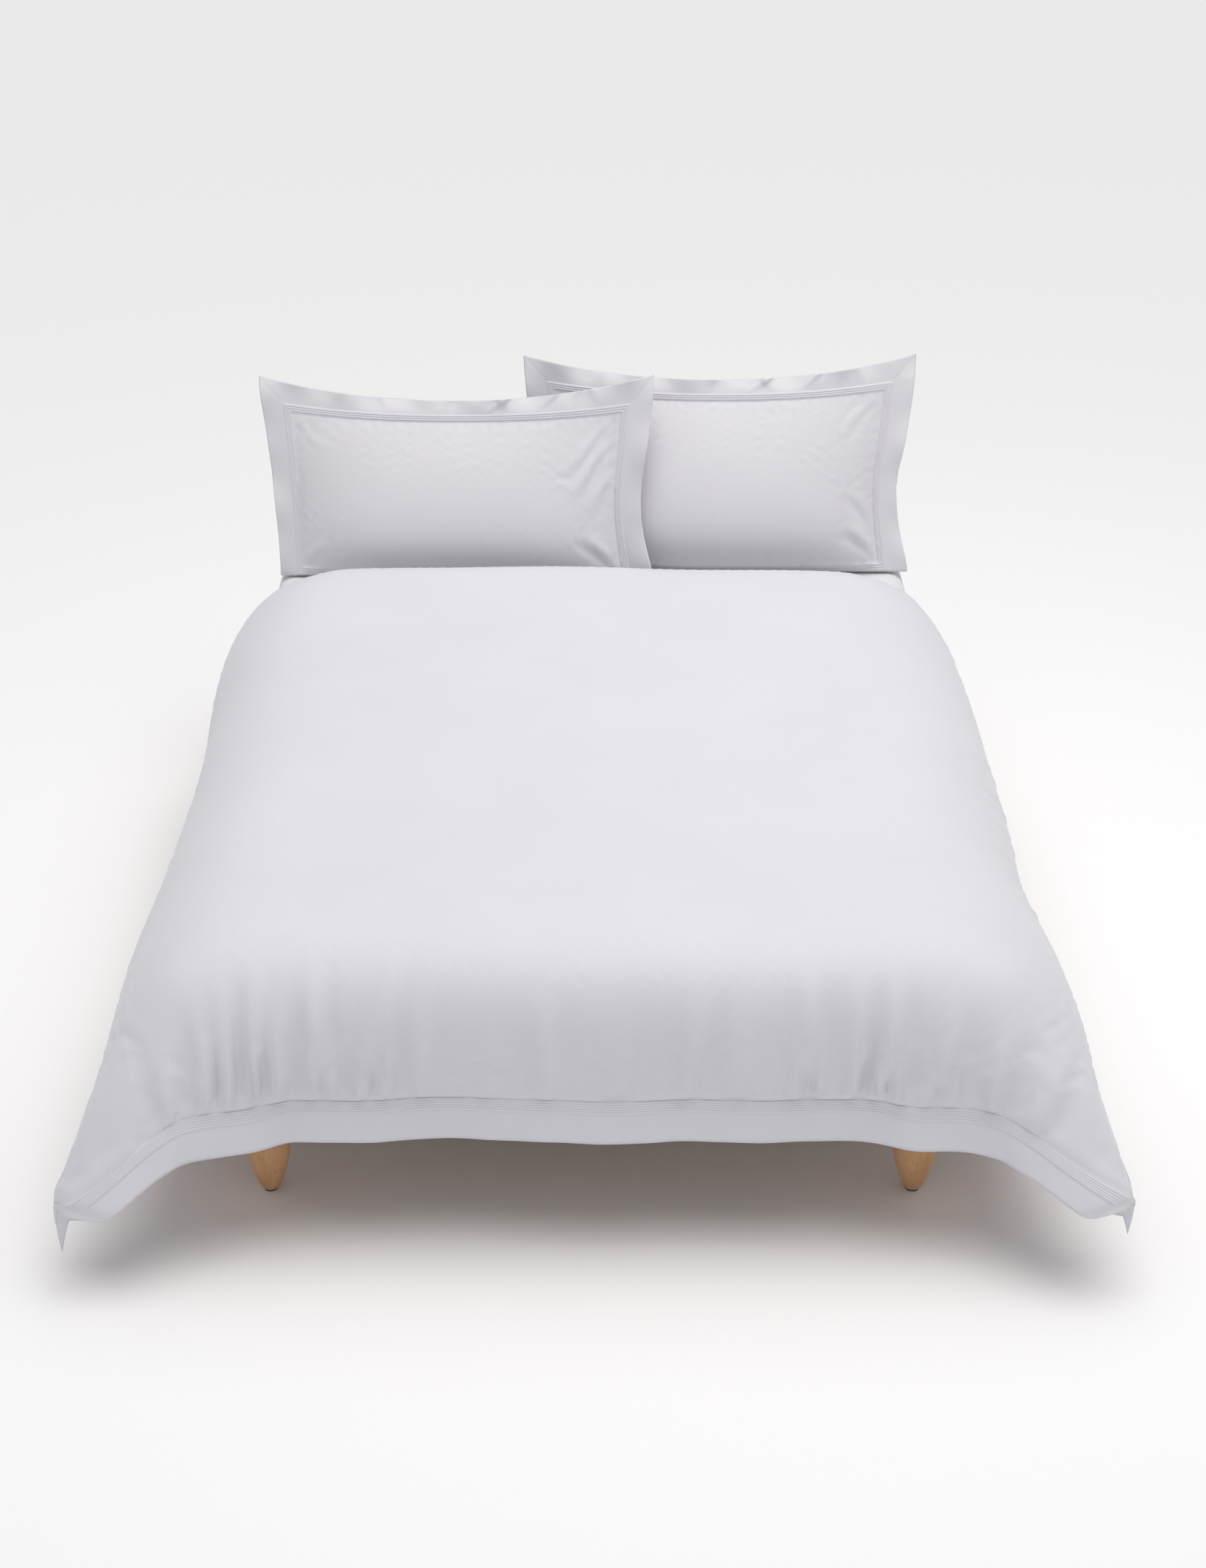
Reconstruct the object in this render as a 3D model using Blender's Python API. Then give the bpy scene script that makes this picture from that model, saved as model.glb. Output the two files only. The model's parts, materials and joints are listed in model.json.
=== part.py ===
"""A double bed dressed with a draped duvet and two standing pillows, in metres with +Z up.

The origin is on the floor under the middle of the mattress, and +Y runs towards the head. The bed is
an oak slatted base on turned legs, with a mattress in a fitted sheet. The duvet is an insert in a
cover of two panels. Each pillow is an insert in a case of two panels with a flat flange all round.
"""

import math

import bmesh
import bpy
from mathutils import Matrix, Vector

# Fits
GAP = 0.0003  # between pieces that touch
REST_GAP = 0.0017  # between the fitted sheet and the duvet that lies on it
CLOTH = 0.001  # panel thickness of sheets, covers and cases

# Mattress
MATTRESS_WIDTH = 1.35
MATTRESS_LENGTH = 1.90
MATTRESS_DEPTH = 0.21
MATTRESS_PLAN_RADIUS = 0.06  # corners seen from above
MATTRESS_EDGE_RADIUS = 0.035  # top edge seen from the side
COMFORT_DEPTH = 0.045
BASE_PANEL_DEPTH = 0.010
BORDER_WALL = 0.008
SHEET_HEM_RISE = 0.002  # bottom of the fitted sheet above the mattress's bottom

# Bed base
LEG_HEIGHT = 0.18
RAIL_DEPTH = 0.09
RAIL_WALL = 0.022
RAIL_INSET = 0.012  # rails stand this far inside the mattress's edge
RAIL_EDGE = 0.003
CENTRE_RAIL_WIDTH = 0.045
SLAT_COUNT = 12
SLAT_WIDTH = 0.07
SLAT_DEPTH = 0.018
SLAT_EDGE = 0.002
SLAT_END_ROOM = 0.035  # from an end rail to the nearest slat
CLEAT_SIDE = 0.03
BLOCK_SIDE = 0.20
BLOCK_DEPTH = 0.03
LEG_INSET_X = 0.096  # leg's centre from the side rail's inner face
LEG_INSET_Y = 0.086  # leg's centre from the end rail's inner face
LEG_SECTION = (  # radius at each share of the height, from the foot up
    (0.013, 0.00),
    (0.020, 0.08),
    (0.027, 0.20),
    (0.034, 0.36),
    (0.040, 0.58),
    (0.043, 0.76),
    (0.045, 1.00),
)
CENTRE_LEG_RADIUS = 0.022
GLIDE_RADIUS = 0.011
GLIDE_DEPTH = 0.003
BOLT_RADIUS = 0.004
BOLT_ROOM = 0.0003  # round the bolt in its holes
BOLT_IN_LEG = 0.028
BOLT_HEAD_RADIUS = 0.0075
BOLT_HEAD_DEPTH = 0.006
DRILL_PAST = 0.01  # how far a drill reaches past each face

# Duvet, measured along the underside of its cover
DUVET_LOFT = 0.048
DUVET_TURN_DOWN = 0.325  # bare mattress above the duvet, where the pillows stand
DUVET_SIDE_DROP = 0.285
DUVET_FOOT_DROP = 0.30
DUVET_BORDER = 0.06  # flat border along the foot
DUVET_CORD_BAND = 0.025  # cord rows between the border and the filling
DUVET_SEAM = 0.012  # unfilled edge along the sides and the head
DUVET_TAPER = 0.07  # the filling thins over this much of its edge
DUVET_EDGE_LOFT = 0.006
SIDE_FLARE = math.radians(19)  # lean of the side drop from the vertical at the head
SIDE_FLARE_GROWTH = math.radians(10)  # added to it towards the foot
FOOT_FLARE = math.radians(9)
CORNER_FLARE = math.radians(18)  # added at the middle of a foot corner
CORNER_STRETCH = 0.21  # extra length of cover that hangs at a foot corner

# Buttons that close the cover behind its foot border
BUTTON_COUNT = 5
BUTTON_PITCH = 0.20
BUTTON_RADIUS = 0.007
BUTTON_DEPTH = 0.0025

# Pillows
PILLOW_WIDTH = 0.74  # seam to seam, filled
PILLOW_FLANGE = 0.05
PILLOW_BELLY = 0.070  # half of the thickness
PILLOW_FOLD_RADIUS = 0.006  # where the bottom flange folds back under
PILLOW_LEAN = math.radians(17)  # back from upright
PILLOW_CURL = 0.075  # how far the end that meets the other pillow bends away from it
PILLOWS = {  # across, down from the mattress's head end, standing height, and the end that curls
    "left": (-0.288, 0.234, 0.370, 1),
    "right": (0.273, 0.213, 0.410, -1),
}

COLOURS = {  # base colour, roughness, metallic
    "duvet_cotton": ((0.79, 0.79, 0.82), 0.75, 0.0),
    "pillow_cotton": ((0.78, 0.77, 0.80), 0.75, 0.0),
    "sheet_cotton": ((0.76, 0.76, 0.78), 0.80, 0.0),
    "filling": ((0.88, 0.88, 0.87), 0.90, 0.0),
    "ticking": ((0.80, 0.79, 0.77), 0.85, 0.0),
    "foam": ((0.85, 0.82, 0.70), 0.95, 0.0),
    "spring_unit": ((0.72, 0.72, 0.70), 0.90, 0.0),
    "oak": ((0.33, 0.18, 0.09), 0.45, 0.0),
    "birch": ((0.62, 0.47, 0.30), 0.55, 0.0),
    "zinc_steel": ((0.60, 0.60, 0.62), 0.35, 1.0),
    "felt": ((0.10, 0.09, 0.08), 0.95, 0.0),
    "button_shell": ((0.80, 0.79, 0.76), 0.30, 0.0),
}

# Heights and half sizes that follow from the driving dimensions
RAIL_TOP = LEG_HEIGHT + RAIL_DEPTH
SLAT_BOTTOM = RAIL_TOP - SLAT_DEPTH
MATTRESS_BOTTOM = RAIL_TOP + GAP
MATTRESS_TOP = MATTRESS_BOTTOM + MATTRESS_DEPTH
EDGE_Z = MATTRESS_TOP - MATTRESS_EDGE_RADIUS  # centre of the top edge's rounding
HALF_WIDTH = MATTRESS_WIDTH / 2
HALF_LENGTH = MATTRESS_LENGTH / 2
RAIL_X = HALF_WIDTH - RAIL_INSET
RAIL_Y = HALF_LENGTH - RAIL_INSET
INNER_X = RAIL_X - RAIL_WALL
INNER_Y = RAIL_Y - RAIL_WALL
SHEET_TOP = MATTRESS_TOP + GAP + CLOTH
FLAT_X = HALF_WIDTH - MATTRESS_EDGE_RADIUS  # the duvet lies flat as far as this
FLAT_Y = HALF_LENGTH - MATTRESS_EDGE_RADIUS
DRAPE_RADIUS = MATTRESS_EDGE_RADIUS + GAP + CLOTH + REST_GAP


def material(name):
    """The named finish, made the first time that it is asked for."""
    found = bpy.data.materials.get(name)
    if found:
        return found
    colour, roughness, metallic = COLOURS[name]
    made = bpy.data.materials.new(name)
    made.use_nodes = True
    shader = made.node_tree.nodes["Principled BSDF"]
    shader.inputs["Base Color"].default_value = (*colour, 1.0)
    shader.inputs["Roughness"].default_value = roughness
    shader.inputs["Metallic"].default_value = metallic
    return made


def add_body(name, place):
    """An empty that the pieces of one moving body hang on."""
    body = bpy.data.objects.new(name, None)
    body.location = place
    bpy.context.scene.collection.objects.link(body)
    return body


def add_piece(name, mesh, finish, body):
    """A piece made in world coordinates, parented to its body."""
    bmesh.ops.recalc_face_normals(mesh, faces=mesh.faces)
    bmesh.ops.translate(mesh, verts=mesh.verts, vec=-body.location)
    data = bpy.data.meshes.new(name)
    mesh.to_mesh(data)
    mesh.free()
    data.shade_smooth()
    data.set_sharp_from_angle(angle=math.radians(35))
    data.materials.append(material(finish))
    piece = bpy.data.objects.new(name, data)
    piece.parent = body
    bpy.context.scene.collection.objects.link(piece)
    return piece


def box(low, high, edge=0.0, segments=1):
    """A box between two corners, its edges rounded by edge."""
    mesh = bmesh.new()
    bmesh.ops.create_cube(mesh, size=1.0)
    low, high = Vector(low), Vector(high)
    bmesh.ops.scale(mesh, verts=mesh.verts, vec=high - low)
    bmesh.ops.translate(mesh, verts=mesh.verts, vec=(low + high) / 2)
    if edge:
        bmesh.ops.bevel(
            mesh, geom=mesh.edges[:], offset=edge, segments=segments, profile=0.5, affect="EDGES", material=-1
        )
    return mesh


def turned(section, centre, segments):
    """A turned solid from (radius, height) points that start and end on the axis."""
    mesh = bmesh.new()
    points = [mesh.verts.new((centre[0] + radius, centre[1], height)) for radius, height in section]
    edges = [mesh.edges.new(pair) for pair in zip(points, points[1:])]
    bmesh.ops.spin(
        mesh,
        geom=points + edges,
        cent=(centre[0], centre[1], 0),
        axis=(0, 0, 1),
        angle=2 * math.pi,
        steps=segments,
        use_merge=True,
    )
    bmesh.ops.remove_doubles(mesh, verts=mesh.verts, dist=1e-5)
    return mesh


def drilled(mesh, centre, radius, low, high):
    """The mesh with a round hole along Z cut through it."""
    data = bpy.data.meshes.new("drilled")
    mesh.to_mesh(data)
    mesh.free()
    blank = bpy.data.objects.new("drilled", data)
    cutter_mesh = turned(((0, low), (radius, low), (radius, high), (0, high)), centre, 16)
    bmesh.ops.recalc_face_normals(cutter_mesh, faces=cutter_mesh.faces)
    cutter_data = bpy.data.meshes.new("drill")
    cutter_mesh.to_mesh(cutter_data)
    cutter_mesh.free()
    cutter = bpy.data.objects.new("drill", cutter_data)
    for piece in (blank, cutter):
        bpy.context.scene.collection.objects.link(piece)
    cut = blank.modifiers.new("hole", "BOOLEAN")
    cut.operation = "DIFFERENCE"
    cut.solver = "EXACT"
    cut.object = cutter
    bpy.context.view_layer.update()
    evaluated = blank.evaluated_get(bpy.context.evaluated_depsgraph_get())
    result = bmesh.new()
    result.from_mesh(evaluated.to_mesh())
    evaluated.to_mesh_clear()
    for piece in (blank, cutter):
        bpy.data.objects.remove(piece)
    return result


def outline(half_x, half_y, radius, height):
    """A rounded rectangle at one height, with four points round each corner."""
    points = []
    for sign_x, sign_y, start in ((1, 1, 0), (-1, 1, 90), (-1, -1, 180), (1, -1, 270)):
        for step in range(4):
            angle = math.radians(start + 30 * step)
            points.append(
                Vector(
                    (
                        sign_x * (half_x - radius) + radius * math.cos(angle),
                        sign_y * (half_y - radius) + radius * math.sin(angle),
                        height,
                    )
                )
            )
    return points


def lofted(outlines, close=False):
    """A skin through outlines of equal length: capped at both ends, or joined end to start."""
    mesh = bmesh.new()
    rings = [[mesh.verts.new(point) for point in points] for points in outlines]
    pairs = list(zip(rings, rings[1:]))
    if close:
        pairs.append((rings[-1], rings[0]))
    else:
        mesh.faces.new(rings[0])
        mesh.faces.new(rings[-1])
    for lower, upper in pairs:
        for i, point in enumerate(lower):
            j = (i + 1) % len(lower)
            mesh.faces.new((point, lower[j], upper[j], upper[i]))
    return mesh


def mattress_outline(grow, height):
    """The mattress's plan outline, moved out by grow."""
    return outline(HALF_WIDTH + grow, HALF_LENGTH + grow, MATTRESS_PLAN_RADIUS + grow, height)


def dome(grow):
    """Outlines over the rounded top edge, for a skin that lies grow outside the mattress."""
    radius = MATTRESS_EDGE_RADIUS + grow
    rings = []
    for step in range(5):
        angle = math.radians(22.5 * step)
        inward = MATTRESS_EDGE_RADIUS - radius * math.cos(angle)
        rings.append(mattress_outline(-inward, EDGE_Z + radius * math.sin(angle)))
    return rings


def closed_cloth(lower, upper):
    """A closed layer between two grids of points that match row by row, its diagonals mirrored across."""
    rows, columns = len(lower), len(lower[0])
    mesh = bmesh.new()
    bmesh.ops.create_grid(mesh, x_segments=columns - 1, y_segments=rows - 1, size=1.0)
    mesh.verts.ensure_lookup_table()
    under = mesh.verts[:]
    mesh.faces.ensure_lookup_table()
    halves = ([], [])
    for i, face in enumerate(mesh.faces):
        halves[i % (columns - 1) >= (columns - 1) // 2].append(face)
    bmesh.ops.triangulate(mesh, faces=halves[0], quad_method="FIXED")
    bmesh.ops.triangulate(mesh, faces=halves[1], quad_method="ALTERNATE")
    copied = bmesh.ops.duplicate(mesh, geom=mesh.verts[:] + mesh.edges[:] + mesh.faces[:])
    over = [copied["vert_map"][vert] for vert in under]
    for row in range(rows):
        for column in range(columns):
            under[row * columns + column].co = lower[row][column]
            over[row * columns + column].co = upper[row][column]
    rim = [row * columns for row in range(rows)]
    rim += [(rows - 1) * columns + column for column in range(1, columns)]
    rim += [row * columns + columns - 1 for row in range(rows - 2, -1, -1)]
    rim += [column for column in range(columns - 2, 0, -1)]
    for i, here in enumerate(rim):
        there = rim[(i + 1) % len(rim)]
        mesh.faces.new((under[here], under[there], over[there], over[here]))
    return mesh


# Bed base


def make_rails(body):
    """Four outer rails and a centre rail that carries the slats."""
    for name, side in (("left_side_rail", -1), ("right_side_rail", 1)):
        xs = sorted((side * RAIL_X, side * INNER_X))
        end = INNER_Y - GAP
        mesh = box((xs[0], -end, LEG_HEIGHT), (xs[1], end, RAIL_TOP), RAIL_EDGE, 2)
        add_piece(name, mesh, "oak", body)
    for name, side in (("foot_rail", -1), ("head_rail", 1)):
        ys = sorted((side * RAIL_Y, side * INNER_Y))
        mesh = box((-RAIL_X, ys[0], LEG_HEIGHT), (RAIL_X, ys[1], RAIL_TOP), RAIL_EDGE, 2)
        add_piece(name, mesh, "oak", body)
    half = CENTRE_RAIL_WIDTH / 2
    end = INNER_Y - GAP
    mesh = box((-half, -end, LEG_HEIGHT), (half, end, SLAT_BOTTOM - GAP))
    mesh = drilled(mesh, (0, 0), BOLT_RADIUS + BOLT_ROOM, LEG_HEIGHT - DRILL_PAST, SLAT_BOTTOM + DRILL_PAST)
    add_piece("centre_rail", mesh, "birch", body)


def make_cleats(body):
    """A ledge inside each side rail that the slat ends rest on."""
    top = SLAT_BOTTOM - GAP
    end = INNER_Y - GAP
    for name, side in (("left_cleat", -1), ("right_cleat", 1)):
        xs = sorted((side * (INNER_X - GAP), side * (INNER_X - GAP - CLEAT_SIDE)))
        mesh = box((xs[0], -end, top - CLEAT_SIDE), (xs[1], end, top))
        add_piece(name, mesh, "birch", body)


def make_slats(body):
    """Slats spread evenly from the foot rail to the head rail."""
    first = -INNER_Y + SLAT_END_ROOM + SLAT_WIDTH / 2
    pitch = -2 * first / (SLAT_COUNT - 1)
    half = INNER_X - GAP
    for i in range(SLAT_COUNT):
        y = first + pitch * i
        low = (-half, y - SLAT_WIDTH / 2, SLAT_BOTTOM)
        high = (half, y + SLAT_WIDTH / 2, RAIL_TOP)
        add_piece(f"slat_{i + 1:02d}", box(low, high, SLAT_EDGE), "birch", body)


def leg_section(profile):
    """A leg's outline with the blind bolt hole in its top."""
    low, high = GLIDE_DEPTH + GAP, LEG_HEIGHT - GAP
    hole = BOLT_RADIUS + BOLT_ROOM
    section = [(0, low)]
    section += [(radius, low + share * (high - low)) for radius, share in profile]
    section += [(hole, high), (hole, high - BOLT_IN_LEG - BOLT_ROOM), (0, high - BOLT_IN_LEG - BOLT_ROOM)]
    return section


def bolt_section(seat):
    """A bolt that stands in a leg, with its head on a seat at this height."""
    low = LEG_HEIGHT - GAP - BOLT_IN_LEG
    head = seat + GAP
    return (
        (0, low),
        (BOLT_RADIUS, low),
        (BOLT_RADIUS, head),
        (BOLT_HEAD_RADIUS, head),
        (BOLT_HEAD_RADIUS, head + BOLT_HEAD_DEPTH),
        (0, head + BOLT_HEAD_DEPTH),
    )


def make_leg(name, centre, profile, segments, seat, body):
    """A leg with its glide under it and its bolt in its top."""
    add_piece(f"{name}_leg", turned(leg_section(profile), centre, segments), "oak", body)
    glide = turned(((0, 0), (GLIDE_RADIUS, 0), (GLIDE_RADIUS, GLIDE_DEPTH), (0, GLIDE_DEPTH)), centre, 16)
    add_piece(f"{name}_glide", glide, "felt", body)
    add_piece(f"{name}_leg_bolt", turned(bolt_section(seat), centre, 12), "zinc_steel", body)


def make_legs(body):
    """A corner block and a turned leg at each corner, and a plain leg under the centre rail."""
    for end, side_y in (("foot", -1), ("head", 1)):
        for hand, side_x in (("left", -1), ("right", 1)):
            name = f"{end}_{hand}"
            outer = (side_x * (INNER_X - GAP), side_y * (INNER_Y - GAP))
            inner = (side_x * (INNER_X - GAP - BLOCK_SIDE), side_y * (INNER_Y - GAP - BLOCK_SIDE))
            low = (min(outer[0], inner[0]), min(outer[1], inner[1]), LEG_HEIGHT)
            high = (max(outer[0], inner[0]), max(outer[1], inner[1]), LEG_HEIGHT + BLOCK_DEPTH)
            centre = (side_x * (INNER_X - LEG_INSET_X), side_y * (INNER_Y - LEG_INSET_Y))
            drill = (LEG_HEIGHT - DRILL_PAST, LEG_HEIGHT + BLOCK_DEPTH + DRILL_PAST)
            block = drilled(box(low, high), centre, BOLT_RADIUS + BOLT_ROOM, *drill)
            add_piece(f"{name}_corner_block", block, "birch", body)
            make_leg(name, centre, LEG_SECTION, 20, LEG_HEIGHT + BLOCK_DEPTH, body)


def make_centre_leg(body):
    """The plain middle leg, whose bolt ends inside the centre rail."""
    profile = ((CENTRE_LEG_RADIUS, 0.0), (CENTRE_LEG_RADIUS, 1.0))
    add_piece("centre_leg", turned(leg_section(profile), (0, 0), 20), "birch", body)
    glide = turned(((0, 0), (GLIDE_RADIUS, 0), (GLIDE_RADIUS, GLIDE_DEPTH), (0, GLIDE_DEPTH)), (0, 0), 16)
    add_piece("centre_glide", glide, "felt", body)
    low = LEG_HEIGHT - GAP - BOLT_IN_LEG
    high = SLAT_BOTTOM - GAP - BOLT_IN_LEG
    stud = turned(((0, low), (BOLT_RADIUS, low), (BOLT_RADIUS, high), (0, high)), (0, 0), 12)
    add_piece("centre_leg_bolt", stud, "zinc_steel", body)


# Mattress


def make_mattress(body):
    """Spring unit and comfort layer inside a casing of base panel, border and domed top panel."""
    base_top = MATTRESS_BOTTOM + BASE_PANEL_DEPTH
    inner = -BORDER_WALL - GAP
    core_top = EDGE_Z - GAP - COMFORT_DEPTH
    base = lofted([mattress_outline(0, MATTRESS_BOTTOM), mattress_outline(0, base_top)])
    add_piece("mattress_base_panel", base, "ticking", body)
    border = lofted(
        [
            mattress_outline(0, base_top + GAP),
            mattress_outline(0, EDGE_Z - GAP),
            mattress_outline(-BORDER_WALL, EDGE_Z - GAP),
            mattress_outline(-BORDER_WALL, base_top + GAP),
        ],
        close=True,
    )
    add_piece("mattress_border", border, "ticking", body)
    core = lofted([mattress_outline(inner, base_top + GAP), mattress_outline(inner, core_top - GAP)])
    add_piece("mattress_spring_core", core, "spring_unit", body)
    comfort = lofted([mattress_outline(inner, core_top), mattress_outline(inner, EDGE_Z - GAP)])
    add_piece("mattress_comfort_layer", comfort, "foam", body)
    add_piece("mattress_top_panel", lofted(dome(0)), "ticking", body)


def make_fitted_sheet(body):
    """A sheet over the mattress's top and sides, open underneath."""
    hem = MATTRESS_BOTTOM + SHEET_HEM_RISE
    outer = [mattress_outline(GAP + CLOTH, hem)] + dome(GAP + CLOTH)
    inner = [mattress_outline(GAP, hem)] + dome(GAP)
    mesh = lofted(outer[::-1] + inner)
    add_piece("fitted_sheet", mesh, "sheet_cotton", body)


# Duvet


def drop(length, flare):
    """How far out and down a cloth reaches when this length of it passes the mattress's edge."""
    turn = math.pi / 2 - flare
    bent = min(length, DRAPE_RADIUS * turn)
    angle = bent / DRAPE_RADIUS
    hung = length - bent
    out = DRAPE_RADIUS * math.sin(angle) + hung * math.sin(flare)
    down = DRAPE_RADIUS * (1 - math.cos(angle)) + hung * math.cos(flare)
    return out, down


def draped(u, v):
    """The point of the duvet's underside at u across and v towards the head, both along the cloth."""
    past_side = max(0.0, abs(u) - FLAT_X)
    past_foot = max(0.0, -v - FLAT_Y)
    top = EDGE_Z + DRAPE_RADIUS
    flat = Vector((max(-FLAT_X, min(FLAT_X, u)), max(-FLAT_Y, v), top))
    length = math.hypot(past_side, past_foot)
    if not length:
        return flat
    heading = math.atan2(past_foot, past_side)
    share = heading / (math.pi / 2)
    corner = math.sin(2 * heading) ** 2
    towards_foot = (FLAT_Y - max(-FLAT_Y, v)) / (2 * FLAT_Y)
    side_flare = SIDE_FLARE + SIDE_FLARE_GROWTH * towards_foot**2
    flare = side_flare * (1 - share) + FOOT_FLARE * share + CORNER_FLARE * corner
    out, down = drop(length * (1 + CORNER_STRETCH * corner), flare)
    side = math.copysign(1.0, u)
    return flat + Vector((side * out * math.cos(heading), -out * math.sin(heading), -down))


def draped_normal(u, v):
    """The outward normal there, from points a little to each side."""
    step = 0.002
    across = draped(u + step, v) - draped(u - step, v)
    along = draped(u, v + step) - draped(u, v - step)
    return across.cross(along).normalized()


def eased(distance):
    """From 0 at the filling's edge to 1 where it has its full loft."""
    return math.sin(math.pi / 2 * max(0.0, min(1.0, distance / DUVET_TAPER)))


SIDE_FULL = FLAT_X + DUVET_SIDE_DROP
FOOT_FULL = FLAT_Y + DUVET_FOOT_DROP
SIDE_FILLED = SIDE_FULL - DUVET_SEAM
DUVET_HEAD_Y = HALF_LENGTH - DUVET_TURN_DOWN
HEAD_FILLED = DUVET_HEAD_Y - DUVET_SEAM
FOOT_FILLED = FOOT_FULL - DUVET_BORDER - DUVET_CORD_BAND


def loft(u, v):
    """Thickness of the filling there, 0 outside it."""
    to_side = SIDE_FILLED - abs(u)
    to_head = HEAD_FILLED - v
    to_foot = v + FOOT_FILLED
    if min(to_side, to_head, to_foot) < -1e-9:
        return 0.0
    full = eased(to_side) * eased(to_head) * eased(to_foot)
    return DUVET_EDGE_LOFT + (DUVET_LOFT - DUVET_EDGE_LOFT) * full


def duvet_lines():
    """Grid lines across and along, closest together where the cloth turns over an edge."""
    side_turn = DRAPE_RADIUS * (math.pi / 2 - SIDE_FLARE)
    half = [FLAT_X * share for share in (0.33, 0.67, 1.0)]
    half += [FLAT_X + side_turn * share for share in (1 / 3, 2 / 3, 1.0)]
    bottom = SIDE_FILLED - DUVET_TAPER / 2
    half += [(FLAT_X + side_turn + bottom) / 2, bottom, SIDE_FILLED, SIDE_FULL]
    across = [-u for u in half[::-1]] + [0.0] + half
    foot_turn = DRAPE_RADIUS * (math.pi / 2 - FOOT_FLARE)
    along = [FOOT_FULL, FOOT_FULL - DUVET_BORDER, FOOT_FILLED, FOOT_FILLED - DUVET_TAPER / 2]
    along += [(along[-1] + FLAT_Y + foot_turn) / 2]
    along += [FLAT_Y + foot_turn * share for share in (1.0, 2 / 3, 1 / 3)]
    along = [-v for v in along]
    span = FLAT_Y + HEAD_FILLED - DUVET_TAPER
    along += [-FLAT_Y + span * share for share in (0.0, 0.2, 0.4, 0.6, 0.8, 1.0)]
    along += [HEAD_FILLED - DUVET_TAPER / 2, HEAD_FILLED, DUVET_HEAD_Y]
    return across, along


def lifted(across, along, height):
    """A grid of points at height(u, v) off the draped underside."""
    return [[draped(u, v) + draped_normal(u, v) * height(u, v) for u in across] for v in along]


def over_filling(u, v):
    """Where the cover's top panel starts: on the filling, or on the other panel outside it."""
    filling = loft(u, v)
    return CLOTH + GAP + (filling + GAP if filling else 0.0)


def make_duvet(body):
    """The filled insert between the cover's underside and top panels."""
    across, along = duvet_lines()
    under = lifted(across, along, lambda u, v: 0.0)
    under_top = lifted(across, along, lambda u, v: CLOTH)
    add_piece("duvet_cover_underside", closed_cloth(under, under_top), "duvet_cotton", body)
    inner_across = across[1:-1]
    inner_along = along[2:-1]
    bottom = lifted(inner_across, inner_along, lambda u, v: CLOTH + GAP)
    top = lifted(inner_across, inner_along, lambda u, v: CLOTH + GAP + loft(u, v))
    add_piece("duvet_insert", closed_cloth(bottom, top), "filling", body)
    lower = lifted(across, along, over_filling)
    upper = lifted(across, along, lambda u, v: over_filling(u, v) + CLOTH)
    add_piece("duvet_cover_top", closed_cloth(lower, upper), "duvet_cotton", body)


def make_buttons(body):
    """Flat buttons behind the foot border, which close the cover's opening."""
    v = -(FOOT_FULL - DUVET_BORDER / 2)
    for i in range(BUTTON_COUNT):
        u = (i - (BUTTON_COUNT - 1) / 2) * BUTTON_PITCH
        normal = draped_normal(u, v)
        section = ((0, 0), (BUTTON_RADIUS, 0), (BUTTON_RADIUS, BUTTON_DEPTH), (0, BUTTON_DEPTH))
        mesh = turned(section, (0, 0), 16)
        turn = Vector((0, 0, 1)).rotation_difference(normal).to_matrix().to_4x4()
        place = Matrix.Translation(draped(u, v) - normal * (BUTTON_DEPTH + GAP)) @ turn
        bmesh.ops.transform(mesh, matrix=place, verts=mesh.verts)
        add_piece(f"cover_button_{i + 1}", mesh, "button_shell", body)


# Pillows


def pillow_base(spec):
    """The middle of the pillow's bottom seam, where its folded flange rests on the sheet."""
    layers = CLOTH + 1.5 * GAP
    height = SHEET_TOP + layers + PILLOW_FOLD_RADIUS * (1 + math.sin(PILLOW_LEAN))
    return Vector((spec[0], HALF_LENGTH - spec[1], height))


def curl(spec, p):
    """How far the pillow bends towards the foot there: the left one's right end forwards, the other's back."""
    end = spec[3]
    share = max(0.0, end * p / (PILLOW_WIDTH / 2 + PILLOW_FLANGE))
    return end * PILLOW_CURL * share**1.2


def pillow_point(spec, p, q, w):
    """The point p across, q up the pillow from its bottom seam and w out of its middle plane."""
    base = pillow_base(spec) + Vector((p, -curl(spec, p), 0))
    rise = Vector((0, math.sin(PILLOW_LEAN), math.cos(PILLOW_LEAN)))
    out = Vector((0, -math.cos(PILLOW_LEAN), math.sin(PILLOW_LEAN)))
    if q >= 0:
        return base + rise * q + out * w
    turn = min(-q / PILLOW_FOLD_RADIUS, math.pi / 2 + PILLOW_LEAN)
    straight = -q - turn * PILLOW_FOLD_RADIUS
    hub = base - out * PILLOW_FOLD_RADIUS
    spoke = out * math.cos(turn) - rise * math.sin(turn)
    onward = -rise * math.cos(turn) - out * math.sin(turn)
    return hub + spoke * (PILLOW_FOLD_RADIUS + w) + onward * straight


def belly(spec, p, q):
    """Half of the pillow's thickness there, 0 on its seams and flange."""
    aside = min(1.0, abs(2 * p / PILLOW_WIDTH))
    above = min(1.0, abs(2 * q / spec[2] - 1))
    return PILLOW_BELLY * ((1 - aside**3) * (1 - above**2.5)) ** 0.6


def pillow_lines(spec):
    """Grid lines across and up the case, with more of them round the folded bottom flange."""
    half = [PILLOW_WIDTH / 2 * share for share in (0.22, 0.55, 0.8, 0.94, 1.0)]
    half.append(PILLOW_WIDTH / 2 + PILLOW_FLANGE)
    across = [-p for p in half[::-1]] + half
    fold = PILLOW_FOLD_RADIUS * (math.pi / 2 + PILLOW_LEAN)
    up = [-PILLOW_FLANGE, -fold, -fold * 2 / 3, -fold / 3]
    up += [spec[2] * share for share in (0.0, 0.05, 0.18, 0.4, 0.65, 0.85, 0.96, 1.0)]
    up.append(spec[2] + PILLOW_FLANGE)
    return across, up


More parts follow.
